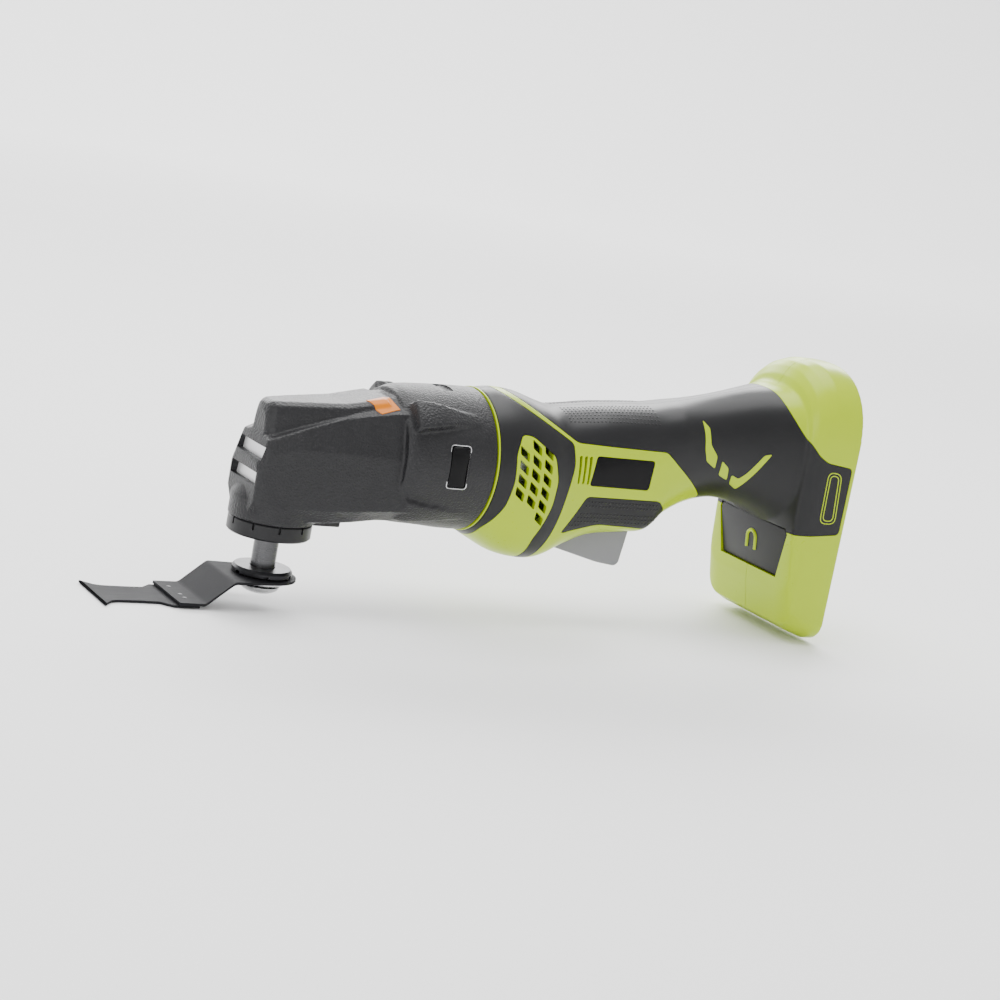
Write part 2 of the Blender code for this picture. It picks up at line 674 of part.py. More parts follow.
def make_head_drive():
    case = turned("gear_case", ((0, 10.2), (0, 19.5), (31.0, 19.5), (31.0, 11.3), (10.0, 11.3), (10.0, 10.2)),
                  (38.5, 0, AXIS_Z), (1, 0, 0), steel(), 32)
    sleeve = ring("sleeve", (0, 0, 24.6), (0, 0, 1), 13.0, 16.6, 13.3, sides=32)
    web = box("web", (14.5, -7, 31.4), (44, 7, 45))
    combine(case, web, "UNION")
    combine(case, sleeve, "UNION")
    combine(case, rod("sleeve_way", (0, 0, 20), (0, 0, 1), 22, 13.3, sides=32), "DIFFERENCE")
    combine(case, rod("bore_way", (48.5, 0, AXIS_Z), (1, 0, 0), 30, 11.3, sides=32), "DIFFERENCE")
    smooth(case)
    smooth(ring("drive_front_bearing", (49.5, 0, AXIS_Z), (1, 0, 0), 6, 11.0, 4.3, steel(), 24))
    shaft = rod("drive_shaft", (36.5, 0, AXIS_Z), (1, 0, 0), 40.0, 4.0, steel(), 20)
    combine(shaft, rod("eccentric_pin", (23.0, 0, AXIS_Z + ECCENTRICITY), (1, 0, 0), 14, 2.8, sides=18), "UNION")
    smooth(shaft)
    smooth(ring("eccentric_bearing", (24.0, 0, AXIS_Z + ECCENTRICITY), (1, 0, 0), 8.0, 6.4, 3.1, steel(), 24))
    socket = ring("coupling_socket", (78.0, 0, AXIS_Z), (1, 0, 0), 14.0, 9.0, 6.4, dark_steel(), 18)
    floor = rod("socket_floor", (77.0, 0, AXIS_Z), (1, 0, 0), 3.0, 9.0, sides=18)
    combine(socket, floor, "UNION")
    smooth(socket)
    hub = turned("coupling_hub", ((0, 1.9), (0, 5.8), (15.5, 5.8), (15.5, 1.9)), (84.5, 0, AXIS_Z), (1, 0, 0),
                 dark_steel(), 6)
    smooth(hub)
    back = ring("head_back_plate", (92.9, 0, AXIS_Z), (1, 0, 0), 2.6, 30.9, 10.5, dark_steel(), 36)
    smooth(back)


# ---------------------------------------------------------------- spindle, blade and clamp

def make_spindle():
    profile = ((-3.5, 3.4), (-3.5, 5.9), (48.0, 5.9), (48.0, 5.2), (64.4, 5.2), (64.4, 4.0), (70.0, 4.0), (70.0, 0),
               (14.0, 0), (14.0, 3.4))
    smooth(turned("spindle", profile, (0, 0, 0), (0, 0, 1), steel(), 28))
    flange = ring("upper_flange", (0, 0, -3.5), (0, 0, 1), 3.5, FLANGE_RADIUS, SHAFT_RADIUS + GAP, steel(), 40)
    for step in range(4):
        angle = math.radians(45 + 90 * step)
        notch = box("notch", (12.4, -1.4, -5), (16, 1.4, -2.2))
        notch.data.transform(Matrix.Rotation(angle, 4, "Z"))
        combine(flange, notch, "DIFFERENCE")
    smooth(flange)
    smooth(ring("spindle_lower_bearing", (0, 0, 26.0), (0, 0, 1), 9.0, 13.0, 6.2, steel(), 28))
    smooth(ring("spindle_upper_bearing", (0, 0, 65.4), (0, 0, 1), 4.6, 8.0, 4.3, steel(), 24))
    fork = ring("drive_fork", (0, 0, AXIS_Z - 5.0), (0, 0, 1), 9.6, 9.6, 5.5, dark_steel(), 24)
    combine(fork, box("fork_arm", (7.5, -10.8, AXIS_Z - 5.0), (20.0, 10.8, AXIS_Z + 4.6)), "UNION")
    for side in (-1, 1):
        low, high = sorted((side * 8.4, side * 11.6))
        combine(fork, box("prong", (18.0, low, AXIS_Z - 5.0), (33.0, high, AXIS_Z + 4.6)), "UNION")
    combine(fork, rod("fork_bore", (0, 0, 40), (0, 0, 1), 40, 5.5, sides=24), "DIFFERENCE")
    smooth(fork)


def blade_height(x):
    """The blade's top face: flat on the flange, cranked down, then flat to the tip."""
    slope = min(1.0, max(0.0, (-20.5 - x) / 13.0))
    return BLADE_TOP - BLADE_DROP * slope


def plate(name, outline, material, lift=0.0, thickness=BLADE_THICKNESS):
    """A sheet of even thickness that follows the blade's crank."""
    builder = bmesh.new()
    bottom = [builder.verts.new((x, y, -50.0)) for x, y in outline]
    base = builder.faces.new(bottom)
    extruded = bmesh.ops.extrude_face_region(builder, geom=[base])
    tops = [item for item in extruded["geom"] if isinstance(item, bmesh.types.BMVert)]
    for vert in tops:
        vert.co.z = 50.0
    for bend_x in (-20.5, -33.5):
        geometry = builder.verts[:] + builder.edges[:] + builder.faces[:]
        bmesh.ops.bisect_plane(builder, geom=geometry, plane_co=(bend_x, 0, 0), plane_no=(1, 0, 0))
    for vert in builder.verts:
        height = blade_height(vert.co.x) + lift
        vert.co.z = height if vert.co.z > 0 else height - thickness
    return add_object(name, builder, material)


def make_blade():
    round_end = [(16.6 * math.cos(math.radians(a)), 16.6 * math.sin(math.radians(a))) for a in range(-75, 76, 15)]
    outline = [(-46.0, -18.0), (-20.5, -18.6)] + round_end + [(-20.5, 18.6), (-46.0, 18.0)]
    carrier = plate("blade_carrier", outline, dark_steel())
    combine(carrier, rod("blade_hole", (0, 0, -30), (0, 0, 1), 40, 4.0, sides=20), "DIFFERENCE")
    side = [(-35.5, 16.9), (-48.2, 16.9), (-50.5, 14.6), (-53.5, 11.8), (-64.0, 11.4), (-73.5, 11.7), (-77.0, 13.0),
            (TIP_X, 18.6)]
    tip = side + [(x, -y) for x, y in reversed(side)]
    plate("blade_tip", tip, dark_steel(), lift=-BLADE_THICKNESS - GAP, thickness=TIP_THICKNESS)
    washer_top = BLADE_TOP - BLADE_THICKNESS - GAP
    smooth(ring("clamp_washer", (0, 0, washer_top - 2.0), (0, 0, 1), 2.0, 11.5, 3.4, steel(), 32))
    head_top = washer_top - 2.0 - GAP
    dome = [(head_top - 4.2 * math.sin(math.radians(a)), 9.6 * math.cos(math.radians(a))) for a in (0, 22, 45, 62)]
    inner = [(head_top - 3.7, 2.9), (head_top - 1.2, 2.9), (head_top - 1.2, 0)]
    shank = [(10.0, 0), (10.0, 3.0), (head_top, 3.0)]
    smooth(turned("clamp_screw", shank + dome + inner, (0, 0, 0), (0, 0, 1), steel(), 28))


# ---------------------------------------------------------------- frame

def set_origin(item, point):
    """Puts the object's origin on its joint, leaving the shape where it is."""
    item.data.transform(Matrix.Translation(-Vector(point)))
    item.location = Vector(point)


def to_metres():
    """Turns every piece from millimetres to metres about the tool's own origin."""
    for item in bpy.data.objects:
        item.data.transform(Matrix.Scale(MM, 4))
        item.location = (item.location - ORIGIN) * MM
    bpy.context.view_layer.update()


def main():
    clear_scene()
    make_base()
    make_trim()
    make_trigger()
    make_motor()
    make_battery_end()
    make_head()
    make_latches()
    make_head_drive()
    make_spindle()
    make_blade()
    to_metres()


main()
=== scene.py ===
# %% [markdown]
# # A cordless oscillating multi tool, without its battery pack
# The tool is a black gear head with a cranked cutting blade, clipped to a lime handle with black
# overmould, which ends in the foot that takes a battery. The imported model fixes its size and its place.
# This lesson builds the outer skin again, smooth and finished, and leaves the works inside as they are.

import json
import math

import bmesh
import bpy
from mathutils import Matrix, Vector
from mathutils.bvhtree import BVHTree


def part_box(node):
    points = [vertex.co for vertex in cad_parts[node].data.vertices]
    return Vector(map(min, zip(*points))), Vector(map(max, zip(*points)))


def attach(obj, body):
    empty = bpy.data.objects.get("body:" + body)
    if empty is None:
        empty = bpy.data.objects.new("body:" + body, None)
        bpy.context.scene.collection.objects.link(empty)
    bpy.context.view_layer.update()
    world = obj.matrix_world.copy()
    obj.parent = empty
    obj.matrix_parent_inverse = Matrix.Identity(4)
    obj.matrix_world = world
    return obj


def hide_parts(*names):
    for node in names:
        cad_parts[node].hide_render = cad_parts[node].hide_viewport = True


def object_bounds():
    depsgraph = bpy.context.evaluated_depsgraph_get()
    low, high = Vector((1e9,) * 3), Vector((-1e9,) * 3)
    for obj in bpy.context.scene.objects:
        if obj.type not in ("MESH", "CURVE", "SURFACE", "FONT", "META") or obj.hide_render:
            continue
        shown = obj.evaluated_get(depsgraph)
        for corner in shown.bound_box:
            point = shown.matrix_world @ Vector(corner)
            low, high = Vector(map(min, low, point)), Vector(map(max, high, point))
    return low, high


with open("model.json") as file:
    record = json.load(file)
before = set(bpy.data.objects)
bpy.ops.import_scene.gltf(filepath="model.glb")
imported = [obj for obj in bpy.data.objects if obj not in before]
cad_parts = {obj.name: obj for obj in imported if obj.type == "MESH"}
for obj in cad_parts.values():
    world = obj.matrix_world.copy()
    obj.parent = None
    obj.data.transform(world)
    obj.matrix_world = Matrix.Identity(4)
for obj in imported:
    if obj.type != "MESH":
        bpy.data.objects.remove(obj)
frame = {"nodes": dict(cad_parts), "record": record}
cad_low, cad_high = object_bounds()
print("frame:", len(frame["nodes"]), "nodes, box", [round(v, 3) for v in cad_high - cad_low])

# %% [markdown]
# ## Where things are
# A tool maker draws this in millimetres, from the spindle axis and the flange's top face, with X along
# the tool. The frame is in metres from the middle of the floor, so one point ties the two together.

# %% One point that ties the drawing to the frame
MM = 0.001
spindle_low, spindle_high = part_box("spindle")
FLANGE_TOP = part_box("upper_flange")[1].z
DRAWING_ZERO = Vector(((spindle_low.x + spindle_high.x) / 2, 0.0, FLANGE_TOP))
TIP_X = (cad_low.x - DRAWING_ZERO.x) / MM
AXIS_Z = 59.4
NECK_RADIUS = 34.9
SKIN = 2.2
WALL = 4.4
TOP_POWER = 2.8
FOOT_LEAN = 0.135
GAP = 0.3
SIDES = ((-1, "right"), (1, "left"))
VOXEL = 0.72
print("drawing zero:", [round(v, 4) for v in DRAWING_ZERO], "blade tip at", round(TIP_X, 1), "mm")

# %% [markdown]
# ## Small tools for meshes
# Every shape starts as a loft, a prism seen from the side, or a turned profile. Booleans join and cut
# them at once, with the manifold solver, because the skins cross at shallow angles.


# %% Lofts, prisms and turned shapes
def linked(item):
    bpy.context.scene.collection.objects.link(item)
    return item


def add_shape(name, builder):
    """Turns a bmesh into an object with its faces pointing out."""
    bmesh.ops.recalc_face_normals(builder, faces=builder.faces)
    mesh = bpy.data.meshes.new(name)
    builder.to_mesh(mesh)
    builder.free()
    return linked(bpy.data.objects.new(name, mesh))


def loft(name, rings):
    """A closed skin over rings of points that all have the same count."""
    builder = bmesh.new()
    rows = [[builder.verts.new(point) for point in ring] for ring in rings]
    for near, far in zip(rows, rows[1:]):
        for index in range(len(near)):
            after = (index + 1) % len(near)
            builder.faces.new((near[index], near[after], far[after], far[index]))
    builder.faces.new(rows[0])
    builder.faces.new(rows[-1])
    return add_shape(name, builder)


def prism(name, outline, low=-60.0, high=60.0):
    """A side outline in X and Z, carried through from Y = low to Y = high."""
    return loft(name, [[(x, y, z) for x, z in outline] for y in (low, high)])


def polar(radius, degrees):
    return radius * math.cos(math.radians(degrees)), radius * math.sin(math.radians(degrees))


def block(name, low, high):
    x0, y0, z0 = low
    x1, y1, z1 = high
    return prism(name, ((x0, z0), (x1, z0), (x1, z1), (x0, z1)), y0, y1)


def turned(name, profile, centre=(0, 0, 0), direction=(0, 0, 1), sides=72):
    """A round solid: profile holds (distance along direction, radius) and closes on itself."""
    builder = bmesh.new()
    turn = Vector((0, 0, 1)).rotation_difference(Vector(direction)).to_matrix()
    rings = []
    for step in range(sides):
        angle = 2 * math.pi * step / sides
        spoke = Vector((math.cos(angle), math.sin(angle), 0.0))
        rings.append([builder.verts.new(Vector(centre) + turn @ (spoke * radius + Vector((0, 0, along))))
                      for along, radius in profile])
    for step in range(sides):
        near, far = rings[step], rings[(step + 1) % sides]
        for index in range(len(profile)):
            after = (index + 1) % len(profile)
            if profile[index][1] > 0 or profile[after][1] > 0:
                builder.faces.new((near[index], near[after], far[after], far[index]))
    bmesh.ops.remove_doubles(builder, verts=builder.verts, dist=0.0005)
    return add_shape(name, builder)


def rod(name, centre, direction, length, radius, sides=48):
    return turned(name, ((0, 0), (0, radius), (length, radius), (length, 0)), centre, direction, sides)


# %% Modifiers applied at once
def apply_modifiers(item):
    """Freezes the modifiers into a plain mesh."""
    bpy.context.view_layer.update()
    result = bpy.data.meshes.new_from_object(item.evaluated_get(bpy.context.evaluated_depsgraph_get()))
    item.modifiers.clear()
    item.data = result
    item.data.materials.clear()
    return item


def modify(item, kind, **settings):
    modifier = item.modifiers.new(kind.lower(), kind)
    for key, value in settings.items():
        setattr(modifier, key, value)
    return item


def combine(target, other, operation, keep_other=False):
    apply_modifiers(modify(target, "BOOLEAN", solver="MANIFOLD", operation=operation, object=other))
    if not keep_other:
        bpy.data.objects.remove(other, do_unlink=True)
    return target


def cut(target, other, keep_other=False):
    return combine(target, other, "DIFFERENCE", keep_other)


def notched(item, low, high, count, pitch, first=0.0):
    """Cuts one block out of the item again and again, pitch degrees apart round the Z axis."""
    for step in range(count):
        notch = block("notch", low, high)
        notch.data.transform(Matrix.Rotation(math.radians(first + pitch * step), 4, "Z"))
        cut(item, notch)
    return item


def copy_of(item, name):
    twin = item.copy()
    twin.data = item.data.copy()
    twin.name = name
    return linked(twin)


def rounded(item, width, segments=3, angle=40.0):
    """Rounds the sharp edges, as a mould or a polishing wheel would."""
    return apply_modifiers(modify(item, "BEVEL", width=width, segments=segments, limit_method="ANGLE",
                                  angle_limit=math.radians(angle)))


def melted(item, voxel, passes):
    """One even skin over joined shapes, its edges softened by passes of smoothing."""
    modify(item, "REMESH", mode="VOXEL", voxel_size=voxel)
    return apply_modifiers(modify(item, "SMOOTH", factor=0.5, iterations=passes))


def settle(item, body, finish, stands_for=(), crease=38.0):
    """Takes a finished piece from millimetres into the frame's metres and hands it to its body."""
    item.data.transform(Matrix.Translation(DRAWING_ZERO) @ Matrix.Scale(MM, 4))
    item.data.materials.clear()
    item.data.materials.append(finish.material)
    item.data.shade_smooth()
    item.data.set_sharp_from_angle(angle=math.radians(crease))
    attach(item, body)
    if stands_for:
        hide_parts(*stands_for)
    print(f"{item.name}: {len(item.data.polygons)} faces, rides on {body}")
    return item


# %% [markdown]
# ## Finishes
# A finish is a Principled shader with a few patterns in front of it. Writing the patterns as sums and
# products of sockets keeps them readable, so a small class turns each sign into a Math node. All
# patterns lie on Object coordinates, in metres, so that they stay on the piece as it moves.


# %% Sockets that can be added and multiplied
class Value:
    """An output socket that can stand in a sum."""

    def __init__(self, finish, socket):
        self.finish = finish
        self.socket = socket

    def math(self, operation, other, turned_round=False):
        first, second = (other, self) if turned_round else (self, other)
        return self.finish.node("Math", {"operation": operation}, {0: first, 1: second})

    def __add__(self, other):
        return self.math("ADD", other)

    def __sub__(self, other):
        return self.math("SUBTRACT", other)

    def __rsub__(self, other):
        return self.math("SUBTRACT", other, turned_round=True)

    def __mul__(self, other):
        return self.math("MULTIPLY", other)

    __radd__ = __add__
    __rmul__ = __mul__


class Finish:
    """A named material with a Principled shader, and one method that adds any node."""

    def __init__(self, name, **fixed):
        self.material = bpy.data.materials.new(name)
        self.material.use_nodes = True
        self.tree = self.material.node_tree
        self.shader = self.tree.nodes["Principled BSDF"]
        self.place = self.node("TexCoord", {}, {}, "Object")
        for socket, value in fixed.items():
            self.shader.inputs[socket.replace("_", " ")].default_value = value

    def node(self, kind, settings, values, output=0):
        made = self.tree.nodes.new("ShaderNode" + kind)
        for key, value in settings.items():
            setattr(made, key, value)
        for key, value in values.items():
            self.feed(made.inputs[key], value)
        return Value(self, made.outputs[output])

    def feed(self, socket, value):
        if isinstance(value, Value):
            self.tree.links.new(value.socket, socket)
        else:
            socket.default_value = value

    def noise(self, size, detail=3.0, stretch=(1, 1, 1)):
        """Noise from 0 to 1 whose lumps are about this many metres across."""
        place = self.node("Mapping", {"vector_type": "POINT"}, {"Vector": self.place, "Scale": stretch})
        return self.node("TexNoise", {}, {"Vector": place, "Scale": 1 / size, "Detail": detail}, "Fac")

    def between(self, low, high, amount):
        """A colour from low to high as amount goes from 0 to 1."""
        return self.node("Mix", {"data_type": "RGBA", "blend_type": "MIX"},
                         {0: amount, 6: (*low, 1.0), 7: (*high, 1.0)}, 2)

    def bump(self, height, depth):
        """Raises the surface by depth metres where height is 1."""
        normal = self.node("Bump", {}, {"Height": height, "Distance": depth, "Strength": 1.0})
        self.feed(self.shader.inputs["Normal"], normal)

    def paint(self, colour, roughness):
        self.feed(self.shader.inputs["Base Color"], colour)
        self.feed(self.shader.inputs["Roughness"], roughness)
        return self


def shade(colour, by):
    return tuple(min(1.0, part * by) for part in colour)


# %% [markdown]
# ### Moulded plastics and rubber
# The lime plastic is almost glossy, with a faint orange peel. The overmould is a satin rubber with a
# fine grain. The head is glass-filled nylon from a spark-eroded mould, so it has a coarse pebble that
# catches the light at a low angle. All three vary a little in tone, as handled plastic does. On the head
# the raised pebbles are also painted lighter than their hollows, a painted highlight on their tops.


# %% Plastics
def moulded(name, colour, roughness, grain, depth, tone=0.08, **fixed):
    finish = Finish(name, **fixed)
    cloud = finish.noise(0.045, 2.0)
    fine = finish.noise(grain, 2.0)
    finish.paint(finish.between(shade(colour, 1 - tone), shade(colour, 1 + tone), cloud * 0.8 + fine * 0.2),
                 cloud * 0.08 + fine * 0.08 + (roughness - 0.08))
    finish.bump(fine, depth)
    return finish


def pebbled(name, colour, roughness, grain, depth):
    finish = Finish(name, Specular_IOR_Level=0.34)
    cloud = finish.noise(0.03, 2.0)
    cells = finish.node("TexVoronoi", {"feature": "SMOOTH_F1"},
                        {"Vector": finish.place, "Scale": 1 / grain, "Smoothness": 0.6}, "Distance")
    height = finish.noise(grain * 0.8, 2.0) * 0.6 - cells * 0.8
    # Colour follows the pebble height: raised tops are painted lighter as a painted highlight, and the cloud
    # adds random tone.
    finish.paint(finish.between(shade(colour, 0.8), shade(colour, 1.35), height * 0.7 + cloud * 0.5),
                 cloud * 0.1 + (roughness - 0.05))
    finish.bump(height, depth)
    return finish


LIME = moulded("lime_plastic", (0.4, 0.54, 0.0), 0.3, 0.0016, 0.000012, 0.05,
               Specular_IOR_Level=0.3)
GRIP = moulded("grip_rubber", (0.0105, 0.0105, 0.0115), 0.36, 0.0005, 0.00003, 0.2, Specular_IOR_Level=0.28)
PAD = moulded("pad_rubber", (0.008, 0.008, 0.009), 0.44, 0.0004, 0.00003, 0.2, Specular_IOR_Level=0.3)
BLACK = moulded("black_plastic", (0.009, 0.009, 0.01), 0.36, 0.0007, 0.00002, 0.15, Specular_IOR_Level=0.3)
GLOSS = moulded("gloss_black", (0.003, 0.003, 0.0034), 0.2, 0.002, 0.000004, 0.1, Specular_IOR_Level=0.14)
GREY = moulded("grey_plastic", (0.2, 0.2, 0.212), 0.34, 0.0009, 0.00001, 0.06)
HEAD = pebbled("pebbled_nylon", (0.0135, 0.0135, 0.015), 0.4, 0.001, 0.0003)
ORANGE = moulded("orange_film", (0.6, 0.17, 0.0), 0.36, 0.003, 0.000004, 0.06, Specular_IOR_Level=0.2)
BOARD = moulded("board_green", (0.015, 0.12, 0.05), 0.4, 0.002, 0.00001, 0.1)
LENS = moulded("lamp_lens", (0.82, 0.86, 0.9), 0.12, 0.003, 0.000004, 0.02, Coat_Weight=0.6)
print("plastics made:", [f.material.name for f in (LIME, GRIP, PAD, BLACK, GLOSS, GREY, HEAD, ORANGE)])

# %% [markdown]
# ### Metals
# Turned steel has fine rings round its axis, sheet steel has a straight grain, and the blade is blacked
# after it is ground. A noise stretched far along one direction gives the grain, and a broad one gives
# the cloudy heat tint.


# %% Metals
def metal(name, colour, roughness, stretch, depth=0.000006, tint=0.15, **fixed):
    finish = Finish(name, **{"Metallic": 1.0, **fixed})
    cloud = finish.noise(0.012, 3.0)
    grain = finish.noise(0.0006, 3.0, stretch)
    pale, dark = shade(colour, 1 + tint), shade(colour, 1 - tint)
    finish.paint(finish.between(dark, pale, cloud * 0.5 + grain * 0.5),
                 grain * 0.18 + cloud * 0.08 + (roughness - 0.13))
    finish.bump(grain, depth)
    return finish


TURNED = metal("turned_steel", (0.09, 0.09, 0.093), 0.26, (0.06, 0.06, 1.0))
DARK_TURNED = metal("dark_turned_steel", (0.03, 0.03, 0.032), 0.34, (0.06, 0.06, 1.0))
SHEET = metal("blacked_sheet", (0.016, 0.016, 0.018), 0.58, (0.05, 1.0, 1.0), 0.00001, 0.25,
              Metallic=0.0, Specular_IOR_Level=0.06)
BRIGHT = metal("bright_steel", (0.62, 0.62, 0.63), 0.24, (1.0, 0.06, 0.06))
CAST = metal("cast_alloy", (0.86, 0.86, 0.87), 0.45, (1.0, 1.0, 1.0), 0.00003, 0.06, Metallic=0.6)
COPPER = metal("contact_copper", (0.78, 0.42, 0.22), 0.3, (0.1, 1.0, 1.0))
DARK = metal("dark_steel", (0.07, 0.07, 0.075), 0.4, (1.0, 0.1, 1.0))
print("metals made:", [f.material.name for f in (TURNED, DARK_TURNED, SHEET, BRIGHT, CAST, COPPER, DARK)])

# %% [markdown]
# ## Two repeaters
# Screws, grip dots and weld spots are one part set down many times. A Geometry Nodes tree sets the part
# on every point of a mesh and turns it to that point's own direction. Frames and beads follow a path,
# so a second tree sweeps a round bead along the mesh's edges.


# %% Geometry Nodes trees
def group_with(name, sockets):
    """An empty tree with a geometry in and out, and the named inputs."""
    tree = bpy.data.node_groups.new(name, "GeometryNodeTree")
    tree.interface.new_socket("Geometry", in_out="INPUT", socket_type="NodeSocketGeometry")
    for label, kind in sockets:
        tree.interface.new_socket(label, in_out="INPUT", socket_type=kind)
    tree.interface.new_socket("Geometry", in_out="OUTPUT", socket_type="NodeSocketGeometry")
    return tree


def wired(tree, kind, **links):
    """Adds a node and feeds its sockets, given by name with _ for a space."""
    node = tree.nodes.new(kind)
    for label, value in links.items():
        socket = node.inputs[label.replace("_", " ")]
        if isinstance(value, bpy.types.NodeSocket):
            tree.links.new(value, socket)
        else:
            socket.default_value = value
    return node


def ended(tree, shape, finish):
    """Ends a tree with real geometry in its finish."""
    real = wired(tree, "GeometryNodeRealizeInstances", Geometry=shape)
    painted = wired(tree, "GeometryNodeSetMaterial", Geometry=real.outputs[0], Material=finish)
    wired(tree, "NodeGroupOutput", Geometry=painted.outputs[0])
    return tree


def repeat_tree():
    tree = group_with("repeat_on_points", (("Part", "NodeSocketObject"), ("Size", "NodeSocketFloat"),
                                           ("Finish", "NodeSocketMaterial")))
    given = tree.nodes.new("NodeGroupInput").outputs
    part = wired(tree, "GeometryNodeObjectInfo", Object=given["Part"])
    facing = wired(tree, "GeometryNodeInputNamedAttribute", Name="facing")
    facing.data_type = "FLOAT_VECTOR"
    turn = tree.nodes.new("FunctionNodeAlignRotationToVector")
    turn.axis = "Z"
    tree.links.new(facing.outputs[0], turn.inputs["Vector"])
    copies = wired(tree, "GeometryNodeInstanceOnPoints", Points=given["Geometry"],
                   Instance=part.outputs["Geometry"], Rotation=turn.outputs[0], Scale=given["Size"])
    return ended(tree, copies.outputs[0], given["Finish"])


def bead_tree():
    tree = group_with("bead_on_path", (("Radius", "NodeSocketFloat"), ("Step", "NodeSocketFloat"),
                                       ("Finish", "NodeSocketMaterial")))
    given = tree.nodes.new("NodeGroupInput").outputs
    path = wired(tree, "GeometryNodeMeshToCurve", Mesh=given["Geometry"])
    even = tree.nodes.new("GeometryNodeResampleCurve")
    even.mode = "LENGTH"
    tree.links.new(path.outputs[0], even.inputs["Curve"])
    tree.links.new(given["Step"], even.inputs["Length"])
    circle = wired(tree, "GeometryNodeCurvePrimitiveCircle", Resolution=8, Radius=given["Radius"])
    swept = wired(tree, "GeometryNodeCurveToMesh", Curve=even.outputs[0], Profile_Curve=circle.outputs[0],
                  Fill_Caps=True)
    return ended(tree, swept.outputs[0], given["Finish"])


REPEAT = repeat_tree()
BEAD = bead_tree()


def run_tree(item, tree, **inputs):
    """Sets the tree's inputs by identifier, evaluates it once and freezes the result."""
    modifier = item.modifiers.new("made", "NODES")
    modifier.node_group = tree
    for socket in tree.interface.items_tree:
        if socket.item_type == "SOCKET" and socket.in_out == "INPUT" and socket.name in inputs:
            modifier[socket.identifier] = inputs[socket.name]
    return apply_modifiers(item)


def repeated(name, places, part, size, finish):
    """places holds (point, direction) pairs."""
    mesh = bpy.data.meshes.new(name)
    mesh.from_pydata([tuple(point) for point, _ in places], [], [])
    facing = mesh.attributes.new("facing", "FLOAT_VECTOR", "POINT")
    facing.data.foreach_set("vector", [value for _, way in places for value in way])
    item = linked(bpy.data.objects.new(name, mesh))
    run_tree(item, REPEAT, Part=part, Size=size, Finish=finish.material)
    bpy.data.objects.remove(part, do_unlink=True)
    return item


def bead(name, paths, radius, finish, closed=True, step=0.7):
    """A thin round bead along each path of points."""
    points, edges = [], []
    for path in paths:
        first = len(points)
        points += [tuple(point) for point in path]
        edges += [(first + index, first + index + 1) for index in range(len(path) - 1)]
        if closed:
            edges.append((len(points) - 1, first))
    mesh = bpy.data.meshes.new(name)
    mesh.from_pydata(points, edges, [])
    item = linked(bpy.data.objects.new(name, mesh))
    return run_tree(item, BEAD, Radius=radius, Step=step, Finish=finish.material)


print("trees:", REPEAT.name, "and", BEAD.name)

# %% [markdown]
# ## The shape of the base
# The body swells round the motor, narrows to a waist where the fingers close, and flares into the
# battery foot. Each station gives the section's low and high lines, its half width, and how square it is.

# %% Stations of the body and the foot
BODY_STATIONS = (
    (97.0, 24.5, 94.3, 34.9, 2.0),
    (107.0, 19.5, 95.6, 35.4, 2.05),
    (118.0, 14.6, 94.8, 35.2, 2.15),
    (130.0, 12.6, 91.6, 33.6, 2.3),
    (140.0, 13.6, 89.6, 31.0, 2.4),
    (152.0, 20.5, 90.6, 28.8, 2.6),
    (166.0, 27.0, 92.4, 27.8, 2.9),
    (186.0, 30.2, 94.2, 26.7, 3.6),
    (197.0, 31.8, 95.0, 26.0, 3.8),
    (206.0, 39.0, 96.4, 25.0, 3.0),
    (222.0, 46.2, 99.6, 23.8, 2.4),
    (240.0, 50.0, 104.0, 23.8, 2.2),
    (256.0, 48.6, 108.2, 26.5, 2.3),
    (270.0, 44.0, 111.2, 31.2, 2.6),
    (282.0, 36.0, 114.0, 34.4, 2.8),
)
FOOT_STATIONS = (
    (274.5, 27.0, 46.0, 110.0),
    (277.2, 35.2, 38.0, 117.5),
    (280.3, 37.0, 8.0, 122.0),
    (284.3, 38.0, -9.5, 125.0),
    (291.0, 38.8, -13.0, 127.0),
    (300.0, 39.8, -16.0, 127.0),
    (306.0, 40.0, -16.0, 126.6),
)


def between(stations, x):
    """The station values at x, on a smooth curve through the stations."""
    last = len(stations) - 2
    index = min(last, max(0, sum(1 for row in stations if row[0] <= x) - 1))
    rows = [stations[min(last + 1, max(0, index + shift))] for shift in (-1, 0, 1, 2)]
    start, end = rows[1], rows[2]
    span = end[0] - start[0]
    t = (x - start[0]) / span
    values = []
    for column in range(1, len(start)):
        slope_in = (end[column] - rows[0][column]) / max(1e-6, end[0] - rows[0][0]) * span
        slope_out = (rows[3][column] - start[column]) / max(1e-6, rows[3][0] - start[0]) * span
        weights = (2 * t ** 3 - 3 * t ** 2 + 1, t ** 3 - 2 * t ** 2 + t,
                   3 * t ** 2 - 2 * t ** 3, t ** 3 - t ** 2)
        parts = (start[column], slope_in, end[column], slope_out)
        values.append(sum(weight * part for weight, part in zip(weights, parts)))
    return values


def signed_power(value, power):
    return math.copysign(abs(value) ** power, value)


def rounded_section(x, low, high, half_width, power, count=28):
    """A section across the tool, from an ellipse at power 2 to a soft box above it."""
    points = []
    for step in range(count):
        angle = 2 * math.pi * (step + 0.5) / count
        square = power if math.sin(angle) < 0 else min(power, TOP_POWER)
        across = signed_power(math.cos(angle), 2 / square)
        up = signed_power(math.sin(angle), 2 / square)
        points.append((x, half_width * across, (low + high) / 2 + (high - low) / 2 * up))
    return points


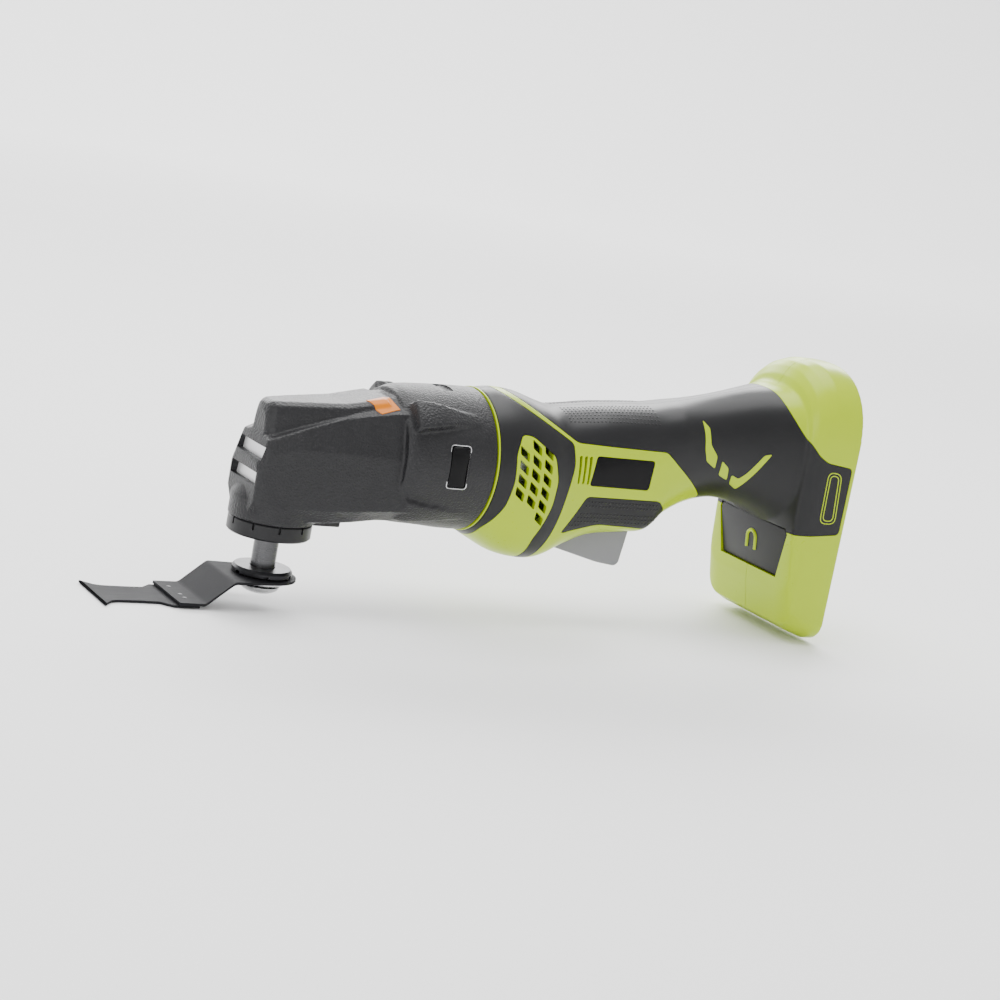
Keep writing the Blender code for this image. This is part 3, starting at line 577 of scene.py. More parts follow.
def arched_section(x, half_width, low, high, corner=11.0, arch_steps=16, corner_steps=3):
    """A foot section: an arch over straight sides, with rounded lower corners."""
    rise = min(half_width * 1.05, high - low - corner - 1)
    points = []
    for step in range(arch_steps + 1):
        angle = math.pi * step / arch_steps
        across = signed_power(math.cos(angle), 0.84)
        points.append((x, half_width * across, high - rise + rise * math.sin(angle) ** 0.84))
    for side in (-1, 1):
        for step in range(corner_steps + 1):
            angle = math.pi / 2 * (step if side < 0 else corner_steps - step) / corner_steps
            reach = half_width - corner + corner * math.cos(angle)
            points.append((x, side * reach, low + corner - corner * math.sin(angle)))
    return points


def base_form(name, inset, start, steps, count, fine=False):
    """Body and foot as one solid, sunk by inset below their surface."""
    rings = []
    for step in range(steps + 1):
        x = start + (281.0 - start) * step / steps
        low, high, half_width, power = between(BODY_STATIONS, x)
        rings.append(rounded_section(x, low + inset, high - inset, half_width - inset, power, count))
    form = loft(name, rings)
    feet = []
    for x, half_width, low, high in FOOT_STATIONS:
        shift = inset if x < 290 else 0.0
        arch = (48, 8) if fine else (16, 3)
        feet.append(arched_section(x + shift, half_width - inset, low + inset, high - inset, 11.0, *arch))
    return combine(form, loft("foot_form", feet), "UNION")


# %% [markdown]
# ## One soft skin for the base
# The mould maker blends the handle into the foot with a wide cove. A voxel remesh joins the two forms
# into one even skin, and the cove comes from smoothing that is strong only round the joint.


# %% The outer skin of the base
def smoothed_near(item, centre_x, reach, passes):
    """Smooths only the points whose X lies within reach of centre_x, fading to nothing."""
    group = item.vertex_groups.new(name="near")
    for vertex in item.data.vertices:
        away = abs(vertex.co.x - centre_x) / reach
        if away < 1.0:
            group.add([vertex.index], 1.0 - away * away, "REPLACE")
    apply_modifiers(modify(item, "SMOOTH", factor=0.5, iterations=passes, vertex_group="near"))
    item.vertex_groups.clear()
    return item


outer = melted(base_form("outer", 0.0, 97.5, 110, 120, fine=True), VOXEL, 4)
smoothed_near(outer, 271.0, 8.5, 30)
core = base_form("core", SKIN, 90.0, 16, 28)
inner_core = base_form("inner_core", SKIN - GAP, 90.0, 16, 28)
print("outer skin:", len(outer.data.polygons), "faces")

# %% [markdown]
# ## Lime shell, black grips
# Two colours are moulded in two shots: the shell is sunk where rubber will lie, and each rubber piece
# fills its own hollow with a hair's gap. All outlines are drawn from the side, so both sides match.

# %% Side outlines
FRONT_GRIP = ((90, 5), (90, 103.3), (141.6, 76.1), (142.5, 66), (134.5, 22), (133, 5))
VENT_PANEL = ((110, 79), (106.5, 70), (107, 57), (105.5, 44), (100.5, 30), (104, 5), (129, 5),
              (126.5, 28), (131.5, 46), (132.5, 58), (129.5, 70), (116, 78.5))
HANDLE_GRIP = ((96.0, 104), (144.6, 76.8), (197.6, 75.8), (228.0, 53.0), (228, 38), (272, 40),
               (288, 41), (303, 43), (303, 78), (288, 79.6), (282.5, 82.7), (277, 88.9), (272, 95),
               (268.4, 100.9), (266.4, 105.8), (265.6, 112), (262, 126), (96.0, 126))
SIDE_PAD = ((153.4, 50.6), (198, 50.2), (205, 44.2), (198, 34.6), (184, 35.5), (166, 36.2), (142.7, 31.3))
NAME_PLATE = ((155.8, 71), (190.4, 70.6), (189.4, 56), (153.6, 56.6))
INLAYS = (
    ((219.4, 92.6), (223.3, 89.2), (223.7, 85.2), (224.3, 81.1), (229.2, 75.5), (229.2, 69.0),
     (222.9, 72.7), (220.9, 78.9), (220.4, 85.8)),
    ((232.8, 73.4), (237.7, 69.9), (239.4, 63.2), (232.9, 65.8)),
    ((241.1, 66.3), (245.9, 64.5), (249.0, 67.8), (256.1, 78.6), (260.0, 79.8), (251.4, 65.0),
     (247.6, 58.4), (242.0, 61.4)),
)
VENT_COLUMNS = ((111.0, 70.5, 4), (118.2, 73.5, 5), (125.4, 71.5, 6))
VENT_PITCH = 6.5
SLOT_PANEL = ((143.4, 73), (154.6, 73), (154.6, 55), (143.4, 55))
SLOT_XS = (145.9, 149.0, 152.0)
SCREW_PLACES = ((150.0, 82.6), (206.0, 55.0), (231.0, 88.0), (295.0, 26.0))
SCREW_HEAD_Y = 12.0
TRAY_SUNK, TRAY_BACK = 1.4, 7.2


def grown(outline, by):
    """The side outline moved outwards by the same distance all round."""
    area = sum(a[0] * b[1] - b[0] * a[1] for a, b in zip(outline, outline[1:] + outline[:1]))
    side = 1.0 if area > 0 else -1.0
    points = []
    for index, here in enumerate(outline):
        before = Vector(here) - Vector(outline[index - 1])
        after = Vector(outline[(index + 1) % len(outline)]) - Vector(here)
        normal_a = side * Vector((before.y, -before.x)).normalized()
        normal_b = side * Vector((after.y, -after.x)).normalized()
        mitre = (normal_a + normal_b).normalized()
        points.append(tuple(Vector(here) + mitre * (by / max(0.4, mitre.dot(normal_a)))))
    return tuple(points)


def eased(outline, radius=2.2, steps=4):
    """The outline with each corner replaced by a short curve."""
    points = []
    for index, here in enumerate(outline):
        corner = Vector(here)
        before = Vector(outline[index - 1]) - corner
        after = Vector(outline[(index + 1) % len(outline)]) - corner
        reach = min(radius, before.length * 0.45, after.length * 0.45)
        start = corner + before.normalized() * reach
        end = corner + after.normalized() * reach
        for step in range(steps + 1):
            t = step / steps
            points.append(tuple(start * (1 - t) ** 2 + corner * 2 * t * (1 - t) + end * t * t))
    return tuple(points)


print("outlines:", 5 + len(INLAYS), "vent slots a side:", sum(count for _, _, count in VENT_COLUMNS))


# %% [markdown]
# ### Cutters
# The tray leans with the front of the foot. One cutter makes the rooms inside the shell, one the vent
# slots, and one sinks the shell under each grip.


# %% Cutters
def foot_face(z):
    """X of the foot's leaning front face at height z."""
    return 276.2 + (38.0 - z) * FOOT_LEAN


def tray_rings(by, depths):
    """The tray set into the front of the foot, leaning with the foot's front face."""
    rings = []
    for depth in depths:
        ring_points = []
        for half_width, z in ((25.0, 15.0), (30.5, 38.5), (29.0, 41.6), (-29.0, 41.6), (-30.5, 38.5),
                              (-25.0, 15.0)):
            lean = foot_face(z)
            reach = half_width + math.copysign(by, half_width)
            ring_points.append((lean + depth, reach, z + (by if z > 30 else -by)))
        rings.append(ring_points)
    return rings


def hollow_cutter():
    """Motor space, handle space, battery stem socket and seat recess."""
    rings = []
    for step in range(11):
        x = 99.3 + (254.0 - 99.3) * step / 10
        low, high, half_width, power = between(BODY_STATIONS, x)
        rings.append(rounded_section(x, low + WALL, high - WALL, half_width - WALL, power))
    room = loft("room", rings)
    combine(room, rod("mouth", (90, 0, AXIS_Z), (1, 0, 0), 16, NECK_RADIUS - WALL - 0.7, 90), "UNION")
    socket = [rounded_section(x, low, high, width, 3.0, 72)
              for x, low, high, width in ((250, 60, 97, 18.0), (280, 55, 99, 20.5), (310, 52, 101, 22.5))]
    combine(room, loft("socket", socket), "UNION")
    seat = [arched_section(x, 34.5, -10.5, 121, 8.0, 48, 6) for x in (300.5, 310.0)]
    return combine(room, loft("seat", seat), "UNION")


def vent_cutter():
    """Three columns of slots, with bars between them that fall to the rear."""
    cutter = None
    for x, top, count in VENT_COLUMNS:
        for row in range(count):
            z = top - VENT_PITCH * row
            outline = ((x - 2.6, z + 3.9), (x + 2.6, z + 0.2), (x + 2.6, z - 3.9), (x - 2.6, z - 0.2))
            slot = prism("slot", eased(outline, 0.7, 2))
            cutter = slot if cutter is None else combine(cutter, slot, "UNION")
    return cutter


def cut_skin(shell, outline, minus=None):
    """Sinks the shell where another piece covers it."""
    cutter = prism("skin_cutter", grown(outline, GAP))
    if minus is not None:
        cut(cutter, prism("left_standing", minus))
    cut(cutter, core, keep_other=True)
    cut(shell, cutter)


def skin_piece(name, outline):
    """The part of the skin that lies inside a side outline."""
    piece = prism(name, outline)
    combine(piece, outer, "INTERSECT", keep_other=True)
    return cut(piece, inner_core, keep_other=True)


# %% [markdown]
# ### Cutting the skins
# Each skin is cut for the pieces that it meets. Behind the vents and the small side slots the wall is
# thinned to the skin alone, so that the slots are short and show the dark space inside.

# %% Cut the shell and the grips
tray_way = loft("tray_way", tray_rings(GAP, (-8.0, TRAY_BACK + GAP)))
shell = copy_of(outer, "shell")
cut_skin(shell, eased(FRONT_GRIP), minus=eased(VENT_PANEL))
for outline in (eased(HANDLE_GRIP), eased(SIDE_PAD), eased(NAME_PLATE, 1.5)):
    cut_skin(shell, outline)
cut(shell, hollow_cutter())
for outline in (grown(VENT_PANEL, -1.0), SLOT_PANEL):
    thinned = prism("thinned", outline)
    combine(thinned, core, "INTERSECT", keep_other=True)
    cut(shell, thinned)
cut(shell, vent_cutter())
for x in SLOT_XS:
    slot = ((x - 0.8, 70.4), (x + 0.8, 70.9), (x + 0.6, 57.4), (x - 0.6, 56.8))
    cut(shell, prism("side_slot", eased(slot, 0.5, 2)))
trigger_way = block("trigger_way", (149.5, -8.9, 0), (197.5, 8.9, 52))
cut(shell, trigger_way, keep_other=True)
cut(shell, tray_way, keep_other=True)

front = skin_piece("front", eased(FRONT_GRIP))
cut(front, prism("vent_gap", grown(eased(VENT_PANEL), GAP)))
cut(front, trigger_way, keep_other=True)
handle = skin_piece("handle", eased(HANDLE_GRIP))
cut(handle, tray_way)
for outline in INLAYS:
    cut(handle, prism("inlay_way", grown(eased(outline, 1.2), 0.12)))
pads = skin_piece("pads", eased(SIDE_PAD))
cut(pads, trigger_way)
plates = skin_piece("plates", eased(NAME_PLATE, 1.5))
print("faces:", [(item.name, len(item.data.polygons)) for item in (shell, front, handle, pads, plates)])


# %% [markdown]
# ### Two halves
# The case is two clamshells that meet on the middle plane. Every skin is split there with a fine seam,
# and the left half is drilled for the screws.

# %% Split along the seam and settle each half
SEAM = 0.11


def keep_side(item, name, side):
    """One half of a piece that spans both sides, cut clear of the seam."""
    half = copy_of(item, name)
    low, high = (-SEAM, 70.0) if side < 0 else (-70.0, SEAM)
    return cut(half, block("half_space", (60, low, -40), (330, high, 150)))


def drill_screws(item):
    """Stepped holes from the left side, for the case screws."""
    for x, z in SCREW_PLACES:
        hole = ((-14.5, 0), (-14.5, 1.8), (SCREW_HEAD_Y, 1.8), (SCREW_HEAD_Y, 3.6), (60, 3.6), (60, 0))
        cut(item, turned("hole", hole, (x, 0, z), (0, 1, 0), 28))


SKINS = (("shell", shell, "base_shell", "lime_shell", LIME),
         ("neck_grip", front, "front_grip", "soft_grip", GRIP),
         ("handle_wrap", handle, "handle_grip", "soft_grip", GRIP),
         ("thumb_pad", pads, "side_pad", "textured_pad", PAD),
         ("blank_plate", plates, "name_plate", "black_plastic", GLOSS))
for side, label in SIDES:
    for name, source, node, slot_name, finish in SKINS:
        half = keep_side(source, f"{name}_{label}", side)
        if side > 0:
            drill_screws(half)
        settle(half, "base", finish, (f"{node}_{label}",))
for item in (shell, front, handle, pads, plates):
    bpy.data.objects.remove(item, do_unlink=True)

# %% [markdown]
# ## Inlays, screws and grip dots
# The lime flashes on the handle are inlaid flush. Star screws close the case from the left. The pads
# and the top of the handle carry rows of small dots, which stop a hand from slipping.

# %% Lime flashes
for side, label in SIDES:
    flash = None
    for outline in INLAYS:
        low, high = (-60, -2) if side < 0 else (2, 60)
        part = prism(f"flash_{label}", eased(outline, 1.2), low, high)
        combine(part, outer, "INTERSECT", keep_other=True)
        cut(part, inner_core, keep_other=True)
        flash = part if flash is None else combine(flash, part, "UNION")
    settle(flash, "base", LIME)


# %% [markdown]
# ### Case screws
# One screw is turned and its star socket cut, then the first tree sets it down in each hole.

# %% Case screws
def star_screw():
    """A pan-head screw with a six-lobed socket."""
    shank = ((-13.5, 0), (-13.5, 1.4), (0.3, 1.4), (0.3, 3.1), (1.9, 3.0), (2.5, 2.5), (2.7, 1.9), (2.7, 0))
    screw = turned("star_screw", shank)
    return notched(screw, (-1.55, -0.42, 1.2), (1.55, 0.42, 4.0), 3, 60)


screw_points = [((x, SCREW_HEAD_Y, z), (0, 1, 0)) for x, z in SCREW_PLACES]
screws = repeated("case_screws", screw_points, star_screw(), 1.0, DARK)
settle(screws, "base", DARK, [f"case_screw_{n}" for n in range(1, 5)])


# %% [markdown]
# ### Grip dots
# The dots are laid out flat from the side, in staggered rows, and each is dropped on the skin by a ray.

# %% Grip dots
def inside(outline, x, z):
    """True if the point lies inside the side outline."""
    crossings = 0
    for (ax, az), (bx, bz) in zip(outline, outline[1:] + outline[:1]):
        if (az > z) != (bz > z) and x < ax + (bx - ax) * (z - az) / (bz - az):
            crossings += 1
    return crossings % 2 == 1


skin_tree = BVHTree.FromObject(outer, bpy.context.evaluated_depsgraph_get())


def side_hit(x, z, side):
    """The point and normal where a line from one side first meets the base's skin."""
    point, normal, _, _ = skin_tree.ray_cast(Vector((x, 70 * side, z)), Vector((0, -side, 0)))
    return point, normal


DOT_PITCH = 2.1


def dots_on_sides(outline, margin, pitch, blank_z):
    """Staggered dots inside an outline, dropped onto both sides of the skin but for one clear line."""
    small = grown(outline, -margin)
    xs = [x for x, _ in outline]
    zs = [z for _, z in outline]
    places = []
    for row in range(int((max(zs) - min(zs)) / pitch)):
        z = min(zs) + pitch * row
        for column in range(int((max(xs) - min(xs)) / pitch)):
            x = min(xs) + pitch * (column + 0.5 * (row % 2))
            if not inside(small, x, z) or abs(z - blank_z) < pitch * 0.7:
                continue
            for side in (-1, 1):
                places.append(side_hit(x, z, side))
    return places


def dots_on_top(start, end, pitch, angles):
    """Rows of dots along the top of the handle."""
    places = []
    for column in range(int((end - start) / pitch)):
        x = start + pitch * column
        for degrees in angles:
            way = Vector((0, *polar(1, degrees)))
            centre = Vector((x, 0, 66))
            point, normal, _, _ = skin_tree.ray_cast(centre + way * 60, -way)
            places.append((point, normal))
    return places


def dot():
    """A low dome of a few dozen faces."""
    return turned("dot", ((-0.3, 0), (-0.3, 0.62), (0.0, 0.6), (0.2, 0.38), (0.27, 0)), sides=8)


pad_dots = dots_on_sides(SIDE_PAD, 1.6, DOT_PITCH, 43.6)
top_angles = [90 + side for angle in range(12, 47, 5) for side in (-angle, angle)]
top_dots = dots_on_top(143, 197, DOT_PITCH, top_angles)
settle(repeated("pad_dots", pad_dots, dot(), 1.0, PAD), "base", PAD, crease=70)
settle(repeated("handle_dots", top_dots, dot(), 0.95, GRIP), "base", GRIP, crease=70)
print("dots:", len(pad_dots), "on the pads,", len(top_dots), "on the handle")

# %% [markdown]
# ## Foot details
# A thin lime ring trims the neck. The foot has a black tray over a magnet, marked with a horseshoe, and
# a blank oval badge on each side. Beads swept along a path draw the ovals and the horseshoe.

# %% Trim ring, tray and magnet mark
ring_profile = ((0, 31.5), (0, 35.1), (0.15, 35.25), (0.65, 35.25), (0.8, 35.1), (0.8, 31.5))
trim = turned("neck_ring", ring_profile, (96.4, 0, AXIS_Z), (1, 0, 0), 128)
settle(trim, "base", LIME, ("trim_ring",))

tray = rounded(loft("tray", tray_rings(0.0, (TRAY_SUNK, TRAY_BACK))), 0.9, 3)
cut(tray, block("pocket", (280.7, -9.3, 19), (292, 9.3, 37)))
settle(tray, "base", GRIP, ("magnet_tray",))


def on_tray(y, z, proud=0.05):
    """A point on the tray's leaning face."""
    return (foot_face(z) + TRAY_SUNK - proud, y, z)


MARK_Z = 29.6
MARK_RADIUS = 3.7
arc = [(y, MARK_Z + z) for y, z in (polar(MARK_RADIUS, degrees) for degrees in range(0, 181, 15))]
horseshoe = [(MARK_RADIUS, MARK_Z - 6.0)] + arc + [(-MARK_RADIUS, MARK_Z - 6.0)]
settle(bead("magnet_mark", [[on_tray(y, z) for y, z in horseshoe]], 0.95, LIME, closed=False), "base",
       LIME)

# %% [markdown]
# ### Badges
# Each badge is two beads that follow the skin, one inside the other.

# %% Blank oval badges
BADGE = ((289.6, 75.2), (297.4, 74.8), (299.2, 48.3), (290.2, 48.0))
for side, label in SIDES:
    ovals = []
    for outline in (eased(BADGE, 3.6, 6), eased(grown(BADGE, -1.5), 2.6, 6)):
        path = []
        for x, z in outline:
            path.append(side_hit(x, z, side)[0])
        ovals.append(path)
    settle(bead(f"oval_badge_{label}", ovals, 0.28, LIME), "base", LIME)

# %% [markdown]
# ## Trigger
# A squeeze lever in grey plastic, hinged at its front end. Its finger face is one sweep, so the outline
# gets eased corners and every edge a generous round.

# %% Trigger
TRIGGER = ((150.0, 27.5), (151.0, 19.6), (165, 16.2), (180, 12.6), (190.8, 11.2), (193.0, 13.0),
           (195.5, 32.0), (191.5, 43.0), (160.0, 38.5), (152.0, 35.0))
lever = rounded(prism("squeeze_lever", eased(TRIGGER, 3.0, 5), -8.4, 8.4), 1.5, 4, 50)
cut(lever, rod("pin_hole", (153.5, -20, 31), (0, 1, 0), 40, 1.9, 32))
settle(lever, "trigger", GREY, ("trigger",))

# %% [markdown]
# ## The gear head
# The head is a faceted block that widens into a round barrel, with a rounded hump over the eccentric
# and raised fins that lead back along each side of the barrel. The shapes are joined, given one skin and
# softened, because the moulding has no truly sharp edge. Windows and the hollow are cut after that.

# %% Stations of the head
HEAD_STATIONS = (
    (-17.6, 27.0, 11.0, 35.0, 15.8, 46.0, 13.0, 51.0),
    (-14.0, 25.0, 15.0, 33.5, 17.4, 57.5, 14.6, 63.0),
    (0.0, 24.2, 18.5, 33.0, 20.6, 61.5, 16.4, 69.0),
    (20.0, 24.6, 18.5, 34.0, 23.8, 61.8, 17.4, 76.4),
    (33.0, 25.8, 18.3, 35.2, 25.9, 61.6, 20.2, 79.4),
    (46.0, 27.6, 18.0, 36.5, 27.6, 61.0, 22.0, 81.8),
    (58.0, 28.0, 18.0, 37.0, 28.6, 61.0, 23.0, 83.2),
)
BARREL_STATIONS = ((50.0, 31.0, 28.0), (55.0, 33.0, 27.6), (70.0, 34.2, 27.4), (84.0, 34.7, 25.6),
                   (96.0, 34.9, 24.5))
HUMP_STATIONS = ((-13.5, 5.8, 75.5), (-12.4, 7.6, 78.4), (-10.2, 9.4, 79.9), (0.0, 11.8, 80.8),
                 (24.0, 15.6, 82.8), (44.0, 17.0, 87.0))


def eased_step(value):
    value = min(1.0, max(0.0, value))
    return value * value * (3 - 2 * value)


def head_ring(x, low, low_width, foot, width, crease, ridge_width, ridge, inset=0.0):
    half = ((low_width * 0.55, low), (low_width, low + 2.2), (width, foot), (width, crease),
            (ridge_width, ridge), (ridge_width * 0.42, ridge + 1.4 + 3.6 * eased_step((x - 16) / 22)))
    middle = (low + ridge) / 2
    squeeze = 1.0 - 2.0 * inset / (ridge - low)
    points = [(x, y - inset, middle + (z - middle) * squeeze) for y, z in half]
    return points + [(px, -py, pz) for px, py, pz in reversed(points)]


def head_block(name, inset):
    rings = [head_ring(x + (inset if x < -10 else 0), *row, inset=inset) for x, *row in HEAD_STATIONS]
    return loft(name, rings)


def fin_height(x, degrees):
    """How far a fin stands out of the barrel, above and below the middle on each side."""
    along = (x - 52.0) / 40.0
    low, high, tall = (28.0, 57.0, 4.5) if degrees > 0 else (-56.0, -27.0, 2.6)
    low, high = low + 10 * along, high - 10 * along
    across = eased_step((degrees - low) / 2.0) * eased_step((high - degrees) / 2.0)
    return tall * across * (1 - eased_step((x - 60.0) / 32.0)) * eased_step((x - 52.0) / 1.5)


def head_barrel(name, inset, start, end, steps=4, count=36, fins=False):
    rings = []
    for step in range(steps + 1):
        x = start + (end - start) * step / steps
        radius, low = between(BARREL_STATIONS, x)
        points = []
        for turn in range(count):
            angle = 2 * math.pi * turn / count
            side_angle = math.degrees(math.asin(math.sin(angle)))
            reach = radius - inset + (fin_height(x, side_angle) if fins else 0.0)
            points.append((x, reach * math.cos(angle), max(AXIS_Z + reach * math.sin(angle), low + inset)))
        rings.append(points)
    return loft(name, rings)


def hump(name, inset):
    rings = []
    for x, width, high in HUMP_STATIONS:
        shift = inset if x < -10 else 0.0
        top, w = high - inset, width - inset
        half = ((w + 2.5, 56), (w, top - 4.6), (w - 1.3, top - 1.5), (w - 4.4, top))
        rings.append([(x + shift, y, z) for y, z in half] + [(x + shift, -y, z) for y, z in reversed(half)])
    return loft(name, rings)


# %% [markdown]
# ### One soft skin for the head
# The same forms are built twice: full size for the outside, and set in by the wall's thickness for the
# room inside. The ways for the lamp, the latches and the windows leave a gap round each piece.

# %% Join, soften and hollow the head
HEAD_WALL = 2.4
WINDOW_HALF = 14.4
WINDOW_LINES = ((53.4, 59.6), (41.4, 47.6))
LATCH_X, LATCH_Z = (71.2, 81.2), (51.3, 71.5)
LAMP_X, LAMP_HALF = (21.2, 30.1), 6.1
NOTCH = ((73.5, 91.8), (73.5, 99), (80.5, 99), (80.5, 92.4))


def head_form(name, inset):
    form = head_block(name, inset)
    low = 23.8 - 1.2 * inset
    profile = ((low, 0), (low, 20.4 - inset * 1.05), (34.0, 20.4 - inset), (42.0, 16.0 - inset), (42.0, 0))
    column = turned("column", profile, sides=96 if inset == 0 else 30)
    combine(form, column, "UNION")
    combine(form, hump("hump", inset), "UNION")
    if inset == 0:
        barrel = head_barrel("barrel", 0.0, 50.0, 96.0, 92, 240, fins=True)
    else:
        barrel = head_barrel("barrel", inset, 55.0, 99.0)
    return combine(form, barrel, "UNION")


head = head_form("head", 0.0)
combine(head, block("lamp_foot", (18.6, -7.8, 22.4), (33.0, 7.8, 27.0)), "UNION")
head = melted(head, VOXEL * 0.85, 4)
cut(head, head_form("head_room", HEAD_WALL))
for low, high in WINDOW_LINES:
    cut(head, block("window", (-30, -WINDOW_HALF, low), (-8, WINDOW_HALF, high)))
latch_way = block("latch_way", (LATCH_X[0], -40, LATCH_Z[0]), (LATCH_X[1], 40, LATCH_Z[1]))
cut(head, latch_way)
cut(head, prism("top_notch", eased(NOTCH, 1.0, 3), -8, 8))
lamp_room = LAMP_HALF + GAP
lamp_way = block("lamp_way", (LAMP_X[0] - GAP, -lamp_room, 20), (LAMP_X[1] + GAP, lamp_room, 30))
cut(head, lamp_way)
head_skin = BVHTree.FromObject(head, bpy.context.evaluated_depsgraph_get())
settle(head, "head", HEAD, ("head_cover",), crease=34)

# %% [markdown]
# ### What shows through the windows
# The gear case's front wall leans just behind the windows, a little narrower than they are.

# %% Bright front wall of the gear case
CASE_WALL = ((-14.7, 40.4), (-12.6, 60.6), (-10.6, 60.6), (-12.4, 40.4))
wall = prism("gear_case_wall", CASE_WALL, 0.2 - WINDOW_HALF, WINDOW_HALF - 0.2)
settle(wall, "head", CAST, ("gear_case_front",))

# %% [markdown]
# ### Latches
# Each latch is a gloss button that slides in its way, with a thin bright frame round it on the barrel.

# %% Latches and their frames
LATCH_PLAY = 0.4
FRAME_LAP = 0.2
frame_low = (LATCH_X[0] - FRAME_LAP, LATCH_Z[0] - FRAME_LAP)
frame_high = (LATCH_X[1] + FRAME_LAP, LATCH_Z[1] + FRAME_LAP)
frame_corners = (frame_low, (frame_high[0], frame_low[1]), frame_high, (frame_low[0], frame_high[1]))
for side, label in SIDES:
    low, high = sorted((side * 28.6, side * 34.0))
    button = block(f"latch_{label}", (LATCH_X[0] + LATCH_PLAY, low, LATCH_Z[0] + LATCH_PLAY),
                   (LATCH_X[1] - LATCH_PLAY, high, LATCH_Z[1] - LATCH_PLAY))
    button = rounded(button, 0.8, 3)
    settle(button, f"latch_{label}", GLOSS, (f"latch_button_{label}",))
    path = []
    for x, z in eased(frame_corners, 1.6, 4):
        reach = math.sqrt(max(0.0, (34.3 + 0.3 * (x - 71) / 10) ** 2 - (z - AXIS_Z) ** 2))
        path.append((x, side * (reach + 0.05), z))
    settle(bead(f"latch_frame_{label}", [path], 0.3, BRIGHT), "head", BRIGHT)


# %% [markdown]
# ### Orange film
# A blank film lies on the head's slope. Rays from above find the slope, so the film follows it closely.

# %% Orange film on the slope
def label_point(x, y, lift):
    point, _, _, _ = head_skin.ray_cast(Vector((x, y, 120)), Vector((0, 0, -1)))
    return (x, y, point.z + lift)


LABEL = [Vector(corner) for corner in ((33.6, -10.4), (46.2, -8.0), (48.0, -18.6), (38.4, -19.8))]
CELLS = 16
film_rings = []
for row in range(CELLS + 1):
    start = LABEL[0].lerp(LABEL[3], row / CELLS)
    end = LABEL[1].lerp(LABEL[2], row / CELLS)
    line = [start.lerp(end, column / CELLS) for column in range(CELLS + 1)]
    film_rings.append([label_point(x, y, 0.3) for x, y in line]
                      + [label_point(x, y, -0.5) for x, y in reversed(line)])
settle(loft("blank_film", film_rings), "head", ORANGE, ("top_label",))

# %% [markdown]
# ### Lamp and collar
# The lamp's lens fills its way under the head. The collar closes the head's nose round the spindle.

# %% Lamp and nose collar
lamp = block("work_lamp", (LAMP_X[0], -LAMP_HALF, 22.6), (LAMP_X[1], LAMP_HALF, 29.0))
lamp = rounded(lamp, 1.2, 4)
settle(lamp, "head", LENS, ("head_lamp",))
collar_profile = ((16.0, 6.6), (16.0, 19.2), (16.8, 20.0), (22.9, 20.0), (23.5, 19.5), (23.5, 6.6))
collar = notched(turned("collar", collar_profile, sides=128), (18.6, -0.55, 20.2), (22, 0.55, 25), 10, 36, 8)
settle(collar, "head", BLACK, ("nose_collar",))

# %% [markdown]
# ## Spindle, flange and clamp
# These are lathe work: a shaft, a flange with six key notches, a thin washer and a domed screw with a
# hexagon socket. A turned profile gives each of them, with the small chamfers a turner leaves.

# %% Turned parts
shaft_profile = ((-3.5, 3.4), (-3.5, 5.5), (-3.1, 5.9), (48.0, 5.9), (48.0, 5.2), (64.4, 5.2),
                 (64.4, 4.0), (70.0, 4.0), (70.0, 0), (14.0, 0), (14.0, 3.4))
spindle = turned("shaft", shaft_profile, sides=96)
settle(spindle, "spindle", TURNED, ("spindle",))
flange_profile = ((-3.5, 6.2), (-3.5, 13.9), (-3.0, 14.4), (-1.2, 14.4), (0.0, 13.4), (0.0, 6.2))
flange = notched(turned("flange", flange_profile, sides=128), (12.6, -1.2, -5), (16, 1.2, -1.9), 6, 60, 15)
settle(flange, "spindle", DARK_TURNED, ("upper_flange",))

BLADE_TOP = -3.5 - GAP
BLADE_DROP = 11.0
BLADE_THICKNESS = 1.3
washer_top = BLADE_TOP - BLADE_THICKNESS - GAP
WASHER_DEPTH = 3.2
washer_profile = ((-WASHER_DEPTH, 3.4), (-WASHER_DEPTH, 9.2), (-1.5, 12.0), (-0.3, 12.1), (0, 11.8), (0, 3.4))
washer = turned("washer", [(washer_top + along, radius) for along, radius in washer_profile], sides=96)
settle(washer, "clamp", BRIGHT, ("clamp_washer",))
head_top = washer_top - WASHER_DEPTH - GAP
DOME_DEPTH, DOME_RADIUS = 4.2, 9.6
dome = [(head_top - DOME_DEPTH * up, DOME_RADIUS * out) for out, up in (polar(1, a) for a in range(0, 63, 6))]
shank = [(10.0, 0), (10.0, 3.0), (head_top, 3.0)]
bolt = turned("dome_screw", shank + dome + [(head_top - 3.7, 0)], sides=96)
hexagon = rod("hexagon", (0, 0, head_top - 6), (0, 0, 1), 4.8, 2.9, sides=6)
cut(bolt, hexagon)
settle(bolt, "clamp", BRIGHT, ("clamp_screw",))

# %% [markdown]
# ## The blade
# A cranked carrier is pressed from sheet, and a thinner toothed plate is spot welded under it. The teeth
# follow a simple rule, one notch each pitch, so the outline itself makes them.


# %% Pressed sheets
def blade_height(x):
    """The blade's top face: flat on the flange, cranked down, then flat to the tip."""
    slope = min(1.0, max(0.0, (-20.5 - x) / 13.0))
    return BLADE_TOP - BLADE_DROP * slope


